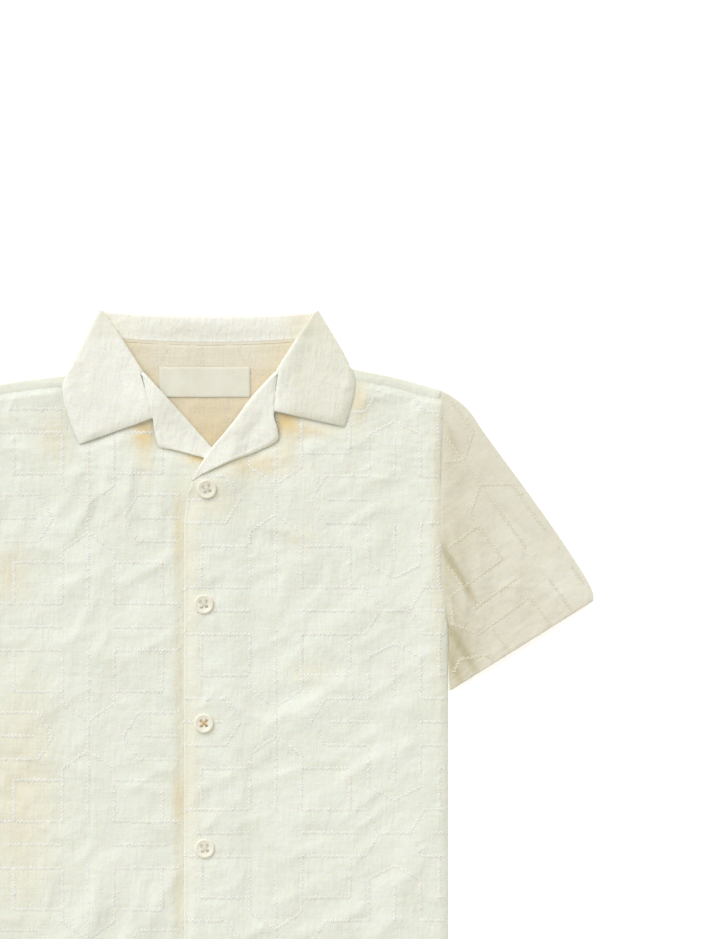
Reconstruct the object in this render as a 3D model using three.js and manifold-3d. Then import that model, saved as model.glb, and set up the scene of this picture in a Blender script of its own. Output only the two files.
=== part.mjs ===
// A toddler's short-sleeved camp shirt with a notched collar, buttoned and laid flat on its back.
// Left and right are the wearer's, so the left half lies at +X.
// Units are millimetres. X runs across the shirt, Y from hem to collar and Z up from the table.
// The origin is on the table, under the middle of the shirt.
// Each piece of cloth is a surface of rows of points, thickened into a closed wall.
import * as THREE from "three";
import { mergeVertices } from "three/addons/utils/BufferGeometryUtils.js";
import Module from "manifold-3d";

// Driving sizes
const CHEST = 284.4; // width of the body across the chest, laid flat
const LENGTH = 384.8; // from the hem to the top of the collar's roll
const CLOTH = 1.2; // wall of one layer of cloth
const GAP = 0.3; // between layers that lie on each other
const SEAM_GAP = 0.4; // between pieces that are sewn edge to edge
const SIDE = CHEST / 2;
const HEM = -LENGTH / 2;
const HALF_CLOTH = CLOTH / 2;
const LAYER = CLOTH + GAP; // from the middle of one layer to the middle of the next
const FOLD_RADIUS = LAYER / 2; // of cloth folded flat on itself
const BACK_Z = HALF_CLOTH; // middle of the lowest layer
const SHOULDER_STRIP = 6; // the back wraps this far over the shoulder, to the seam
const LABEL = { width: 53, height: 17.4, wall: 1, x: -0.3, y: 149.4 };
const BUTTON = { radius: 5.7, rim: 1, height: 2.2, dish: 0.5, hole: 0.8, holeSpacing: 1.5, sides: 18 };

// Small helpers
const clamp01 = (t) => Math.min(1, Math.max(0, t));
const smooth = (t) => clamp01(t) ** 2 * (3 - 2 * clamp01(t));
const lerp = (a, b, t) => a + (b - a) * t;
const mix = (a, b, t) => new THREE.Vector2(lerp(a.x, b.x, t), lerp(a.y, b.y, t));
const range = (n) => Array.from({ length: n }, (_, i) => i);
const at = (p, z) => new THREE.Vector3(p.x, p.y, z);

// Rows of numbers under named columns.
function table(columns, rows) {
  const names = columns.split(" ");
  return rows.map((row) => Object.fromEntries(names.map((name, i) => [name, row[i]])));
}

// A smooth curve in plan through a table of x and y.
function curve(rows) {
  const points = rows.map(({ x, y }) => new THREE.Vector3(x, y, 0));
  const spline = new THREE.CatmullRomCurve3(points, false, "centripetal");
  return (t) => {
    const p = spline.getPointAt(clamp01(t));
    return new THREE.Vector2(p.x, p.y);
  };
}

// A straight-sided line in plan through a table of x and y, by share of its length.
function polyline(rows) {
  const path = new THREE.CurvePath();
  rows.slice(1).forEach((row, i) => {
    path.add(new THREE.LineCurve(new THREE.Vector2(rows[i].x, rows[i].y), new THREE.Vector2(row.x, row.y)));
  });
  return (t) => path.getPoint(clamp01(t));
}

// The value of one column of a table at a value of another, eased between rows.
function lookup(rows, key, column, value) {
  const i = Math.max(1, rows.findIndex((row) => row[key] >= value));
  const last = value > rows[rows.length - 1][key] ? rows.length - 1 : i;
  const [a, b] = [rows[last - 1], rows[last]];
  return lerp(a[column], b[column], smooth((value - a[key]) / (b[key] - a[key])));
}

// Outlines that both halves share
const armhole = table("y x", [
  [4, 142.2],
  [14, 139.2],
  [40, 135.4],
  [75, 134],
  [110, 135],
  [143.8, 138.2],
]);
const frontArmhole = table("y x", [
  [4, 142.2],
  [12, 141.6],
  [50, 139.4],
  [90, 138.2],
  [126, 138.8],
  [139, 140.8],
]);
const UNDERARM_Y = armhole[0].y;
const SHOULDER_TIP = armhole[armhole.length - 1];

// Neck and collar, one entry for each half. x is counted outwards from the centre line.
const neck = {
  left: {
    sign: 1,
    apex: new THREE.Vector2(64.6, 189.6), // centre of the fold at the collar's top corner
    outer: new THREE.Vector2(82.9, 159.3), // and where the collar's edge passes the shoulder
    gorge: new THREE.Vector2(41.8, 156.5), // where collar and lapel meet on the roll
    leafEnd: table("x y", [[41.8, 156.5], [39.7, 132.7], [81.3, 123.4]]),
    leafEdge: table("x y", [
      [81.3, 123.4],
      [84.3, 131.6],
      [87.2, 143],
      [87.6, 150.6],
      [86, 156.2],
      [82.9, 159.3],
    ]),
    neckline: table("x y", [[42.2, 154.2], [46, 153.9], [53, 156.6], [61, 164.4], [67, 172.1]]),
    shoulder: table("x y", [
      [71.9, 177.4],
      [78.8, 166],
      [83, 159.1],
      [85, 156.8],
      [88, 156],
      [93, 155],
      [112, 151],
      [138.2, 143.8],
    ]),
    lapel: table("rollX rollY edgeX edgeY outY", [
      [-7.6, 91.5, -6.8, 92.1, 90],
      [-5.6, 96, -2.3, 95.2, 94],
      [-2.3, 102.1, 7, 100, 98],
      [1.5, 108, 17, 104.3, 102],
      [5.5, 113.2, 28.7, 108.5, 106],
      [10.5, 118.8, 41.2, 115, 110],
      [17, 127, 42, 121.1, 114],
      [27.5, 141.3, 40.6, 127.3, 119],
      [41.8, 156.5, 39.7, 132.7, 124],
    ]),
    frontEdge: table("y x", [[HEM, -12.3], [60, -12.3], [68.7, -12], [82.8, -10.5], [91.5, -7.6]]),
    rises: table("x y rise reach", [[46, 128, 2.6, 13], [70, 127, 0.8, 12]]),
  },
  right: {
    sign: -1,
    apex: new THREE.Vector2(60.6, 190.4),
    outer: new THREE.Vector2(78.6, 155.4),
    gorge: new THREE.Vector2(36.3, 155.9),
    leafEnd: table("x y", [[36.3, 155.9], [29.6, 128.6], [73.4, 113.2]]),
    leafEdge: table("x y", [
      [73.4, 113.2],
      [78.7, 125.8],
      [82.6, 138.9],
      [83.2, 148],
      [81.3, 153],
      [78.6, 155.4],
    ]),
    neckline: table("x y", [[36.6, 153.6], [40.6, 153.4], [47.6, 156.2], [55.6, 164], [61.8, 172.1]]),
    shoulder: table("x y", [
      [66.8, 177.4],
      [73.1, 165.6],
      [78.7, 155.2],
      [80.3, 153],
      [83, 152.3],
      [87.2, 151.7],
      [112, 148.6],
      [138.2, 143.8],
    ]),
    lapel: table("rollX rollY edgeX edgeY outY", [
      [-12.3, 92, -11.5, 92.6, 90],
      [-11.6, 97, -8, 98, 94],
      [-9.6, 103.8, -1, 104.6, 98],
      [-7, 108, 9, 107.6, 102],
      [-3.5, 112, 19.3, 110.2, 106],
      [2, 118.2, 26, 111.6, 110],
      [9, 126.2, 28.2, 117, 114],
      [21, 139.5, 29.5, 123, 119],
      [36.3, 155.9, 29.6, 128.6, 124],
    ]),
    frontEdge: table("y x", [[HEM, -12.3], [60, -12.3], [92, -12.3]]),
    rises: table("x y rise reach", [[34, 127, 2.2, 13], [62, 118, 1.2, 12]]),
  },
};

// Soft folds that stand up from each front: a crest from one end to the other, with x as above.
const creases = {
  left: table("x1 y1 x2 y2 rise reach", [
    [44, 98, 60, 62, 0.9, 9],
    [62, -5, 104, 24, 1.1, 9],
    [40, 22, 66, 48, 0.9, 8],
    [34, -58, 88, -28, 1.2, 9],
    [58, -108, 118, -66, 1.1, 10],
    [108, -168, 128, -112, 1.2, 9],
    [34, -162, 84, -140, 0.9, 10],
    [100, 78, 112, 118, 0.8, 9],
  ]),
  right: table("x1 y1 x2 y2 rise reach", [
    [48, 78, 54, 112, 1.6, 8],
    [72, 70, 78, 104, 1, 8],
    [22, -150, 48, -190, 1.5, 8],
    [52, -134, 74, -176, 1.3, 8],
    [30, -20, 80, -6, 1, 9],
    [62, 36, 100, 14, 1, 9],
    [90, -80, 112, -34, 1.1, 10],
    [96, 84, 112, 118, 0.8, 9],
  ]),
};

// The sleeve's folded edge, its underarm, and its soft folds by share of length and width
const sleeveTop = curve(table("x y", [
  [139.2, 143.6],
  [148.5, 137.2],
  [154.6, 131.4],
  [162.2, 120.1],
  [190.3, 81.5],
  [209, 54.6],
  [223.1, 32.4],
  [226.2, 25.4],
  [226.4, 20.9],
]));
const sleeveUnder = curve(table("x y", [[142.9, 6.5], [143.3, -12], [144.2, -30.6]]));
const sleeveCreases = table("v1 q1 v2 q2 rise reach", [
  [0.12, 0.52, 0.42, 0.72, 1.5, 0.06],
  [0.1, 0.86, 0.5, 0.9, 1.6, 0.05],
  [0.55, 0.2, 0.8, 0.5, 0.9, 0.08],
  [0.3, 0.35, 0.55, 0.62, 0.9, 0.07],
]);

// Height of the layers
function alongCrease(px, py, ax, ay, bx, by) {
  const t = clamp01(((px - ax) * (bx - ax) + (py - ay) * (by - ay)) / ((bx - ax) ** 2 + (by - ay) ** 2));
  return { t, distance: Math.hypot(px - lerp(ax, bx, t), py - lerp(ay, by, t)) };
}

const creaseRise = (row, t, distance) =>
  row.rise * Math.exp(-((distance / row.reach) ** 2)) * (0.6 + 0.4 * Math.sin(Math.PI * t));

// The collar's fall lies under the back, which rises over it, from no share to all of one layer.
const overFall = (x, y) => smooth((y - 119) / 25.5) * (1 - smooth((Math.abs(x) - 89) / 30));
const backZ = (x, y) => BACK_Z + LAYER * overFall(x, y);

// The left front rises once more near the placket, where the right lapel lies between the fronts.
function overRightLapel(x, y) {
  const along = smooth((y - 81) / 10) * (1 - smooth((y - 120) / 12));
  return along * (1 - smooth((x - 16) / 14));
}

// Middle of a front. Its armhole edge lies over the sleeve, and the left front over the right one.
function frontZ(half, x, y) {
  const overSleeve = smooth((x - 118) / 12) * smooth((y + 20) / 22);
  const folds = creases[half].reduce((sum, row) => {
    const { t, distance } = alongCrease(x, y, row.x1, row.y1, row.x2, row.y2);
    return sum + creaseRise(row, t, distance);
  }, 0);
  const clearEdge = smooth((SIDE - x) / 14) * (1 - smooth((x - 112) / 12) * smooth((y + 20) / 22));
  const underCollar = 1 - smooth((y - 112) / 14);
  const nearPlacket = smooth((x - 16) / 14);
  const overLabel = half === "right" ? 2.6 * Math.exp(-(((x - 27) / 15) ** 2) - ((y - 144) / 15) ** 2) : 0;
  const overRight = half === "left" ? 1 - smooth((x - 14) / 16) : 0;
  const overLapel = half === "left" ? overRightLapel(x, y) : 0;
  return (
    backZ(x, y) +
    LAYER * (1 + overSleeve + overRight + overLapel) +
    folds * clearEdge * underCollar * nearPlacket +
    overLabel
  );
}

// How far a turned collar or lapel springs up from the front, besides its own layer.
const collarRise = (half, x, y) =>
  neck[half].rises.reduce((sum, row) => {
    return sum + row.rise * Math.exp(-(((x - row.x) / row.reach) ** 2) - ((y - row.y) / row.reach) ** 2);
  }, 0);

// Walls of cloth
// A surface is rows of points. Cells join neighbours, and a ring joins its last column to its first.
function surface(rows, ring = false) {
  const points = [];
  const ids = rows.map((row) => row.map((p) => points.push(p) - 1));
  const triangles = [];
  for (let i = 0; i + 1 < ids.length; i++) {
    const [low, high] = [ids[i], ids[i + 1]];
    const cells = Math.min(low.length, high.length) - (ring ? 0 : 1);
    for (let j = 0; j < cells; j++) {
      const k = (j + 1) % low.length;
      triangles.push([low[j], low[k], high[k]], [low[j], high[k], high[j]]);
    }
  }
  return { points, triangles };
}

function vertexNormals({ points, triangles }) {
  const normals = points.map(() => new THREE.Vector3());
  for (const [a, b, c] of triangles) {
    const ab = points[b].clone().sub(points[a]);
    const ac = points[c].clone().sub(points[a]);
    const face = ab.cross(ac);
    [a, b, c].forEach((id) => normals[id].add(face));
  }
  return normals.map((n) => n.normalize());
}

// A closed wall with the surface in its middle, mirrored to the left where sign is -1.
function wall(shape, thickness = CLOTH, sign = 1) {
  const normals = vertexNormals(shape);
  const face = (offset) => shape.points.map((p, i) => p.clone().addScaledVector(normals[i], offset));
  const vertices = [...face(thickness / 2), ...face(-thickness / 2)];
  const inner = shape.points.length;
  const sides = new Map();
  for (const [a, b, c] of shape.triangles) {
    for (const [from, to] of [[a, b], [b, c], [c, a]]) {
      if (!sides.delete(`${to},${from}`)) sides.set(`${from},${to}`, [from, to]);
    }
  }
  const triangles = [];
  for (const [a, b, c] of shape.triangles) {
    triangles.push([a, b, c], [a + inner, c + inner, b + inner]);
  }
  for (const [a, b] of sides.values()) {
    triangles.push([b, a, a + inner], [b, a + inner, b + inner]);
  }
  const index = sign > 0 ? triangles : triangles.map(([a, b, c]) => [a, c, b]);
  const positions = vertices.flatMap((p) => [p.x * sign, p.y, p.z]);
  return new THREE.BufferGeometry()
    .setAttribute("position", new THREE.Float32BufferAttribute(positions, 3))
    .setIndex(index.flat());
}

// Shares of the shoulder's length, from the neck, at which both panels have a column
const SHOULDER_SHARES = [0, 0.1, 0.2, 0.25, 0.28, 0.31, 0.34, 0.38, 0.42, 0.5, 0.68, 0.86, 1];
const NECK_SHARES = [0.012, 0.06, 0.14, 0.26, 0.38, 0.5, 0.62, 0.74, 0.86, 0.94, 0.988];

// Back panel
// The line of a column in plan, from the hem to the neckline or the shoulder's fold.
const backWidth = (y) => (y < UNDERARM_Y ? SIDE : lookup(armhole, "y", "x", Math.min(y, SHOULDER_TIP.y)));
const NECK_SEAM_SAG = 4.3;
const sagShape = (t) => Math.sin(Math.PI * clamp01(t)) ** 0.7;

function neckSeam(t) {
  const [a, b] = [neck.left.shoulder[0], neck.right.shoulder[0]];
  return new THREE.Vector2(lerp(a.x, -b.x, t), lerp(a.y, b.y, t) - NECK_SEAM_SAG * sagShape(t));
}

// One column: the shoulder's fold with its outward normal, or a plain end at the neck.
function backTop(half, share) {
  const line = curve(neck[half].shoulder);
  const point = line(share);
  const along = line(Math.min(1, share + 0.01)).sub(line(Math.max(0, share - 0.01))).normalize();
  const strip = lerp(0.8, SHOULDER_STRIP, clamp01(share / 0.2));
  return { point, outward: new THREE.Vector2(-along.y, along.x), strip };
}

function backColumn(top, sign) {
  const BLEND_Y = 96;
  const LEVEL_ROWS = [HEM, -90, UNDERARM_Y, 14, 40, 70];
  const TOP_SHARES = [0, 0.22, 0.4, 0.52, 0.64, 0.76, 0.88];
  const WRAP_ROWS = 6;
  const reach = top.outward ? 0 : 2.4;
  const end = top.point.y - reach;
  const levels = [...LEVEL_ROWS, ...TOP_SHARES.map((s) => lerp(BLEND_Y, end, s)), end];
  const share = top.point.x / SHOULDER_TIP.x;
  const points = levels.map((y) => {
    const x = share * backWidth(y) - (Math.abs(share) > 0.99 && y > UNDERARM_Y ? SEAM_GAP / 2 : 0);
    return new THREE.Vector3(x, y, backZ(x, y));
  });
  const foldZ = backZ(top.point.x, top.point.y);
  for (const k of range(WRAP_ROWS)) {
    const p = top.point.clone();
    if (!top.outward) {
      p.y += reach * ((k + 1) / WRAP_ROWS - 1);
      points.push(at(p, backZ(p.x, p.y)));
      continue;
    }
    const angle = Math.PI * Math.min(1, (k + 1) / 4);
    const past = Math.max(0, k - 3) / 2;
    p.addScaledVector(top.outward, FOLD_RADIUS * Math.sin(angle) - past * top.strip);
    points.push(at(p, foldZ + FOLD_RADIUS * (1 - Math.cos(angle))));
  }
  return points.map((p) => new THREE.Vector3(p.x * sign, p.y, p.z));
}

function backPanel() {
  const column = (half, share) => backColumn(backTop(half, share), neck[half].sign);
  const shoulder = (half) => SHOULDER_SHARES.map((share) => column(half, share));
  const middle = NECK_SHARES.map((share) => backColumn({ point: neckSeam(share) }, 1));
  return wall(surface([...shoulder("left").reverse(), ...middle, ...shoulder("right")]));
}

// Fronts, each with its lapel turned out in one piece with it
const FRONT_COLUMNS = [1, 0.97, 0.92, 0.86, 0.77, 0.68, 0.59, ...SHOULDER_SHARES.slice(0, -3).reverse()];
const FRONT_LEVELS = [HEM, -168, -144, -120, -96, -72, -48, -28, -12, 2, 14, 32, 50, 66, 80];
const ROLL_ARC = 4; // columns round the roll
const FLAP_COLUMNS = 5; // and across the turned lapel

const ROLL_SPRING = 0.85; // the roll opens by this much towards the gorge
const SEAM_BOW = 0.36; // how much of the shoulder's bow the lapel's last row takes
const NECK_OUTER_Y = [124, 137]; // where the rows beside the neckline end on the armhole

const rollRadius = (share) => FOLD_RADIUS + ROLL_SPRING * smooth((share - 0.5) / 0.4);

function frontOuter(y) {
  const x = y < UNDERARM_Y ? SIDE : lookup(frontArmhole, "y", "x", y);
  return new THREE.Vector2(x, y);
}

// Rows of the front: inner end, outer end and how much of the shoulder's bow each one takes.
function frontRows(half) {
  const shape = neck[half];
  const rows = FRONT_LEVELS.map((y) => ({
    inner: new THREE.Vector2(lookup(shape.frontEdge, "y", "x", y), y),
    outer: frontOuter(y),
    bow: 0,
  }));
  const last = shape.lapel.length - 1;
  shape.lapel.forEach((row, i) => {
    const roll = new THREE.Vector2(row.rollX, row.rollY);
    const edge = new THREE.Vector2(row.edgeX, row.edgeY);
    const radius = rollRadius(i / last);
    const across = edge.clone().sub(roll).normalize();
    const inset = Math.min(radius + HALF_CLOTH, 0.5 * edge.distanceTo(roll) + HALF_CLOTH);
    const inner = roll.clone().addScaledVector(across, inset);
    const flap = { across, edge, radius, share: i / last };
    rows.push({ inner, outer: frontOuter(row.outY), bow: SEAM_BOW * smooth((i - 4) / 4), flap });
  });
  const neckline = frontNeckline(half);
  NECK_STATIONS.slice(1).forEach((share) => {
    const outer = share < 1 ? frontOuter(lerp(...NECK_OUTER_Y, share)) : frontTop(half, 1);
    rows.push({ inner: neckline(share), outer, bow: lerp(SEAM_BOW, 1, share) });
  });
  return rows;
}

// The front's neckline, from the roll to the shoulder seam. Front and collar have the same stations.
const NECK_STATIONS = [0, 0.17, 0.34, 0.5, 0.67, 0.84, 1];

function frontNeckline(half) {
  return curve([...neck[half].neckline, frontTop(half, 0)]);
}

// The shoulder seam: the shoulder's fold, moved down by the strip of the back that wraps over it.
function frontTop(half, share) {
  const { point, outward, strip } = backTop(half, share);
  const cornerGap = 0.8 * (1 - clamp01(share / 0.1));
  const seam = point.clone().addScaledVector(outward, -strip - SEAM_GAP - cornerGap);
  return share < 1 ? seam : seam.add(new THREE.Vector2(2, 1));
}

function frontPanel(half) {
  const rows = frontRows(half);
  const chord = (share) => mix(frontTop(half, 0), frontTop(half, 1), share);
  const built = rows.map(({ inner, outer, bow, flap }) => {
    const points = FRONT_COLUMNS.map((share) => {
      const p = mix(inner, outer, share);
      p.addScaledVector(frontTop(half, share).sub(chord(share)), bow);
      return at(p, frontZ(half, p.x, p.y));
    });
    return flap ? points.concat(lapelRow(half, inner, flap)) : points;
  });
  return wall(surface(built), CLOTH, neck[half].sign);
}

// One row of the lapel: up round the roll, then out over the front to the lapel's edge.
function lapelRow(half, inner, { across, edge, radius, share }) {
  const base = frontZ(half, inner.x, inner.y);
  const reach = Math.max(0, edge.clone().sub(inner).dot(across));
  const turn = Math.PI * Math.min(1, 0.35 + 0.65 * smooth(share / 0.3));
  const arc = range(ROLL_ARC).map((k) => {
    const angle = (turn * (k + 1)) / ROLL_ARC;
    const p = inner.clone().addScaledVector(across, -radius * Math.sin(angle));
    return at(p, base + radius * (1 - Math.cos(angle)));
  });
  const start = arc[ROLL_ARC - 1];
  const flat = range(FLAP_COLUMNS).map((k) => {
    const t = (k + 1) / FLAP_COLUMNS;
    const p = new THREE.Vector2(start.x, start.y).addScaledVector(across, (reach + 0.6) * t);
    const rest = frontZ(half, p.x, p.y) + LAYER + collarRise(half, p.x, p.y) * smooth((share - 0.3) / 0.4);
    return at(p, lerp(start.z, rest, smooth((reach * t) / 12)));
  });
  return [...arc, ...flat];
}

// Sleeves: a tube of two layers, folded along the top and at the underarm
function sleeve(sign) {
  const RINGS = [0, 0.08, 0.17, 0.28, 0.4, 0.52, 0.64, 0.76, 0.88, 0.96, 1];
  const ACROSS = [0, 0.08, 0.2, 0.34, 0.48, 0.6, 0.72, 0.84, 0.93, 1];
  const FOLD_STEPS = [0.25, 0.5, 0.75];
  const armholeLine = polyline(armhole.map(({ x, y }) => ({ x: x + SEAM_GAP, y })).reverse());
  const rings = RINGS.map((v) => {
    const [top, under] = [sleeveTop(v), sleeveUnder(v)];
    const straight = (q) => mix(top, under, q);
    const bend = (1 - v) ** 3;
    const place = (q) => {
      const chord = mix(sleeveTop(0), sleeveUnder(0), q);
      return straight(q).addScaledVector(armholeLine(q).sub(chord), bend * Math.sin(Math.PI * q) ** 0.5);
    };
    const fold = (q, z, side) => {
      const end = place(q);
      const away = end.clone().sub(place(q + side * 0.02)).normalize();
      return FOLD_STEPS.map((s) => {
        const angle = Math.PI * s;
        const p = end.clone().addScaledVector(away, FOLD_RADIUS * Math.sin(angle));
        return at(p, BACK_Z + FOLD_RADIUS * (1 - z * Math.cos(angle)));
      });
    };
    const rise = (q) => {
      const free = smooth((v - 0.06) / 0.12) * Math.sin(Math.PI * q) ** 0.5;
      return free * sleeveCreases.reduce((sum, row) => {
        const { t, distance } = alongCrease(v, q, row.v1, row.q1, row.v2, row.q2);
        return sum + creaseRise(row, t, distance);
      }, 0);
    };
    const upper = ACROSS.map((q) => at(place(q), BACK_Z + LAYER + rise(q)));
    const lower = ACROSS.map((q) => at(place(q), BACK_Z)).reverse();
    return [...upper, ...fold(1, -1, -1), ...lower, ...fold(0, 1, 1)];
  });
  return wall(surface(rings, true), CLOTH, sign);
}

// Collar: stand and fall in one strip round the neck, over the fronts and under the back
const ROLL_SAG = 4;
const EDGE_SAG = 8.5;
const BACK_ROLL_LIFT = 2.4;
const LEAF_SHARES = [0, 0.1, 0.22, 0.36, 0.5, 0.68, 0.84, 1];
const STAND_SHARES = [1, 0.66, 0.33, 0];
const HAIRPIN_STEPS = [0.17, 0.34, 0.5, 0.66, 0.83];
const COLLAR_MIDDLE_Z = BACK_Z + LAYER * 1.5; // between the two layers of the folded stand

// The strip from stand to fall, with the roll between them as half a turn.
function collarSection(stand, leaf, rollRadius, towardsRoll) {
  const [from, to] = [stand[stand.length - 1], leaf[0]];
  const roll = HAIRPIN_STEPS.map((s) => {
    const p = from.clone().lerp(to, (1 - Math.cos(Math.PI * s)) / 2);
    return p.addScaledVector(towardsRoll, rollRadius * Math.sin(Math.PI * s));
  });
  return [...stand, ...roll, ...leaf];
}

// A patch between four lines in plan: f runs along the collar, q from the roll to the edge.
function patch(roll, edge, start, end) {
  return (f, q) => {
    const p = mix(roll(f), edge(f), q).add(mix(start(q), end(q), f));
    const corners = mix(mix(roll(0), roll(1), f), mix(edge(0), edge(1), f), q);
    return p.sub(corners);
  };
}

const shoulderPoint = (half) => new THREE.Vector2(neck[half].shoulder[0].x, neck[half].shoulder[0].y);

function foldLine(half) {
  const { apex, outer } = neck[half];
  const along = outer.clone().sub(apex).normalize();
  const stand = apex.distanceTo(shoulderPoint(half)) - SEAM_GAP;
  return { apex, outer, along, outward: new THREE.Vector2(-along.y, along.x), stand };
}

// The collar's side of the neckline. Past the shoulder seam it follows the back's strip to the fold.
const FOLD_STATION = 0.97;
const NOTCH_SHIFT = 0.1; // the leaf's end stands this far off the lapel

function collarSeam(half, share) {
  const { apex, along, stand } = foldLine(half);
  if (share === 1) return apex.clone().addScaledVector(along, stand);
  if (share === FOLD_STATION) return frontTop(half, 0).addScaledVector(along, -SEAM_GAP * 1.1);
  const line = frontNeckline(half);
  const tangent = line(share + 0.01).sub(line(Math.max(0, share - 0.01))).normalize();
  return line(share).add(new THREE.Vector2(-tangent.y, tangent.x).multiplyScalar(SEAM_GAP));
}

function collarFront(half, share) {
  const shape = neck[half];
  const { apex, outer, along } = foldLine(half);
  const rollAlong = apex.clone().sub(shape.gorge).normalize();
  const inward = new THREE.Vector2(rollAlong.y, -rollAlong.x);
  const radius = lerp(rollRadius(1), FOLD_RADIUS, smooth((share - 0.5) / 0.5));
  const gorge = shape.gorge
    .clone()
    .addScaledVector(inward, rollRadius(1) + HALF_CLOTH)
    .addScaledVector(rollAlong, SEAM_GAP);
  const roll = (f) => mix(gorge, apex, f);
  const endLine = polyline([{ x: gorge.x, y: gorge.y }, ...shape.leafEnd.slice(1)]);
  const besideLapel = (q) => NOTCH_SHIFT + SEAM_GAP * (1 - smooth(q / 0.5));
  const endEdge = (q) => endLine(q).add(new THREE.Vector2(besideLapel(q), 0));
  const foldEdge = (q) => mix(apex, outer, q);
  const leafPatch = patch(roll, curve(shape.leafEdge), endEdge, foldEdge);
  const nearFold = smooth((share - 0.85) / 0.15);
  const leaf = LEAF_SHARES.map((q) => {
    const p = leafPatch(share, q);
    const spring = collarRise(half, p.x, p.y) * (1 - smooth((share - 0.5) / 0.4));
    const rest = frontZ(half, p.x, p.y) + LAYER + spring;
    const level = lerp(frontZ(half, roll(share).x, roll(share).y) + 2 * radius, rest, smooth(q / 0.3));
    return at(p, lerp(level, COLLAR_MIDDLE_Z + 1.5 * LAYER, nearFold));
  });
  const seam = collarSeam(half, share);
  const stand = STAND_SHARES.map((q) => {
    const p = mix(roll(share), seam, q);
    return at(p, lerp(frontZ(half, p.x, p.y), COLLAR_MIDDLE_Z + 0.5 * LAYER, nearFold));
  });
  const awayFromLeaf = new THREE.Vector3(-inward.x, -inward.y, 0);
  const alongFold = new THREE.Vector3(-along.x, -along.y, 0);
  const towardsRoll = awayFromLeaf.lerp(alongFold, smooth((share - 0.6) / 0.4)).normalize();
  return collarSection(stand, leaf, radius, towardsRoll);
}

// Round the fold over the shoulder, from the front at angle 0 to the back at half a turn.
function collarTurn(half, angle) {
  const { apex, outer, along, outward, stand: height } = foldLine(half);
  const layer = (p, radius) => {
    const moved = p.clone().addScaledVector(outward, radius * Math.sin(angle));
    return at(moved, COLLAR_MIDDLE_Z + radius * Math.cos(angle));
  };
  const stand = STAND_SHARES.map((q) => layer(apex.clone().addScaledVector(along, height * q), FOLD_RADIUS));
  const leaf = LEAF_SHARES.map((q) => layer(mix(apex, outer, q), FOLD_RADIUS + LAYER));
  return collarSection(stand, leaf, FOLD_RADIUS, new THREE.Vector3(-along.x, -along.y, 0));
}

// Across the back, from the right half's fold to the left one's.
function collarBack(share) {
  const [left, right] = [foldLine("left"), foldLine("right")];
  const mirrored = (p) => new THREE.Vector2(-p.x, p.y);
  const lift = BACK_ROLL_LIFT * sagShape(share) ** 2;
  const radius = FOLD_RADIUS + lift / 2;
  const sagging = (a, b, sag) => mix(a, b, share).sub(new THREE.Vector2(0, sag * sagShape(share)));
  const roll = sagging(left.apex, mirrored(right.apex), ROLL_SAG);
  const edge = sagging(left.outer, mirrored(right.outer), EDGE_SAG);
  const seam = sagging(collarSeam("left", 1), mirrored(collarSeam("right", 1)), NECK_SEAM_SAG);
  const leaf = LEAF_SHARES.map((q) => at(mix(roll, edge, q), BACK_Z));
  const stand = STAND_SHARES.map((q) => at(mix(roll, seam, q), BACK_Z + LAYER + lift * (1 - smooth(q))));
  return collarSection(stand, leaf, radius, new THREE.Vector3(0, 1, 0));
}

function collar() {
  const TURN_STATIONS = [0.25, 0.5, 0.75];
  const BACK_STATIONS = [0, ...NECK_SHARES.slice(1, -1), 1];
  const sides = (half) => [
    ...[...NECK_STATIONS.slice(0, -1), FOLD_STATION, 1].map((share) => collarFront(half, share)),
    ...TURN_STATIONS.map((share) => collarTurn(half, Math.PI * share)),
  ];
  const mirror = (section) => section.map((p) => new THREE.Vector3(-p.x, p.y, p.z));
  const right = sides("right").map(mirror).reverse();
  return wall(surface([...sides("left"), ...BACK_STATIONS.map(collarBack), ...right]));
}

// Label on the inside of the back, from the back's own surface moved up
function label() {
  const SHARES = [-0.5, -0.3, -0.1, 0.1, 0.3, 0.5];
  const rows = SHARES.map((v) =>
    SHARES.map((u) => {
      const [x, y] = [LABEL.x + u * LABEL.width, LABEL.y + v * LABEL.height];
      return new THREE.Vector3(x, y, backZ(x, y) + HALF_CLOTH + GAP + LABEL.wall / 2);
    }),
  );
  return wall(surface(rows), LABEL.wall);
}

// Buttons: a rimmed disc with four holes
const wasm = await Module();
wasm.setup();

function solid(geometry) {
  const bare = geometry.clone().deleteAttribute("normal").deleteAttribute("uv");
  const merged = mergeVertices(bare, 1e-4);
  return new wasm.Manifold(
    new wasm.Mesh({
      numProp: 3,
      vertProperties: new Float32Array(merged.attributes.position.array),
      triVerts: new Uint32Array(merged.index.array),
    }),
  );
}

function geometryOf(manifold) {
  const mesh = manifold.getMesh();
  return new THREE.BufferGeometry()
    .setAttribute("position", new THREE.Float32BufferAttribute(mesh.vertProperties, 3))
    .setIndex(Array.from(mesh.triVerts));
}

function button() {
  const { radius, rim, height, dish, hole, holeSpacing, sides } = BUTTON;
  const profile = table("r z", [
    [0, 0],
    [radius - 0.7, 0],
    [radius, 0.7],
    [radius, height - 0.4],
    [radius - rim / 2, height],
    [radius - rim - dish, height - dish],
    [0, height - dish],
  ]).map(({ r, z }) => new THREE.Vector2(r, z));
  const disc = new THREE.LatheGeometry(profile, sides).rotateX(Math.PI / 2);
  const drill = new THREE.CylinderGeometry(hole, hole, height * 4, 7).rotateX(Math.PI / 2);
  const corners = [[1, 1], [1, -1], [-1, 1], [-1, -1]];
  return geometryOf(
    corners.reduce((left, [x, y]) => {
      const moved = drill.clone().translate(x * holeSpacing, y * holeSpacing, 0);
      return left.subtract(solid(moved));
    }, solid(disc)),
  );
}

const buttonPlaces = table("x y turn", [
  [1.2, 87.3, 0.3],
  [-0.6, 19.6, 0.12],
  [-0.6, -50, 0.05],
  [0, -123.1, 0.1],
]);

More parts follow.
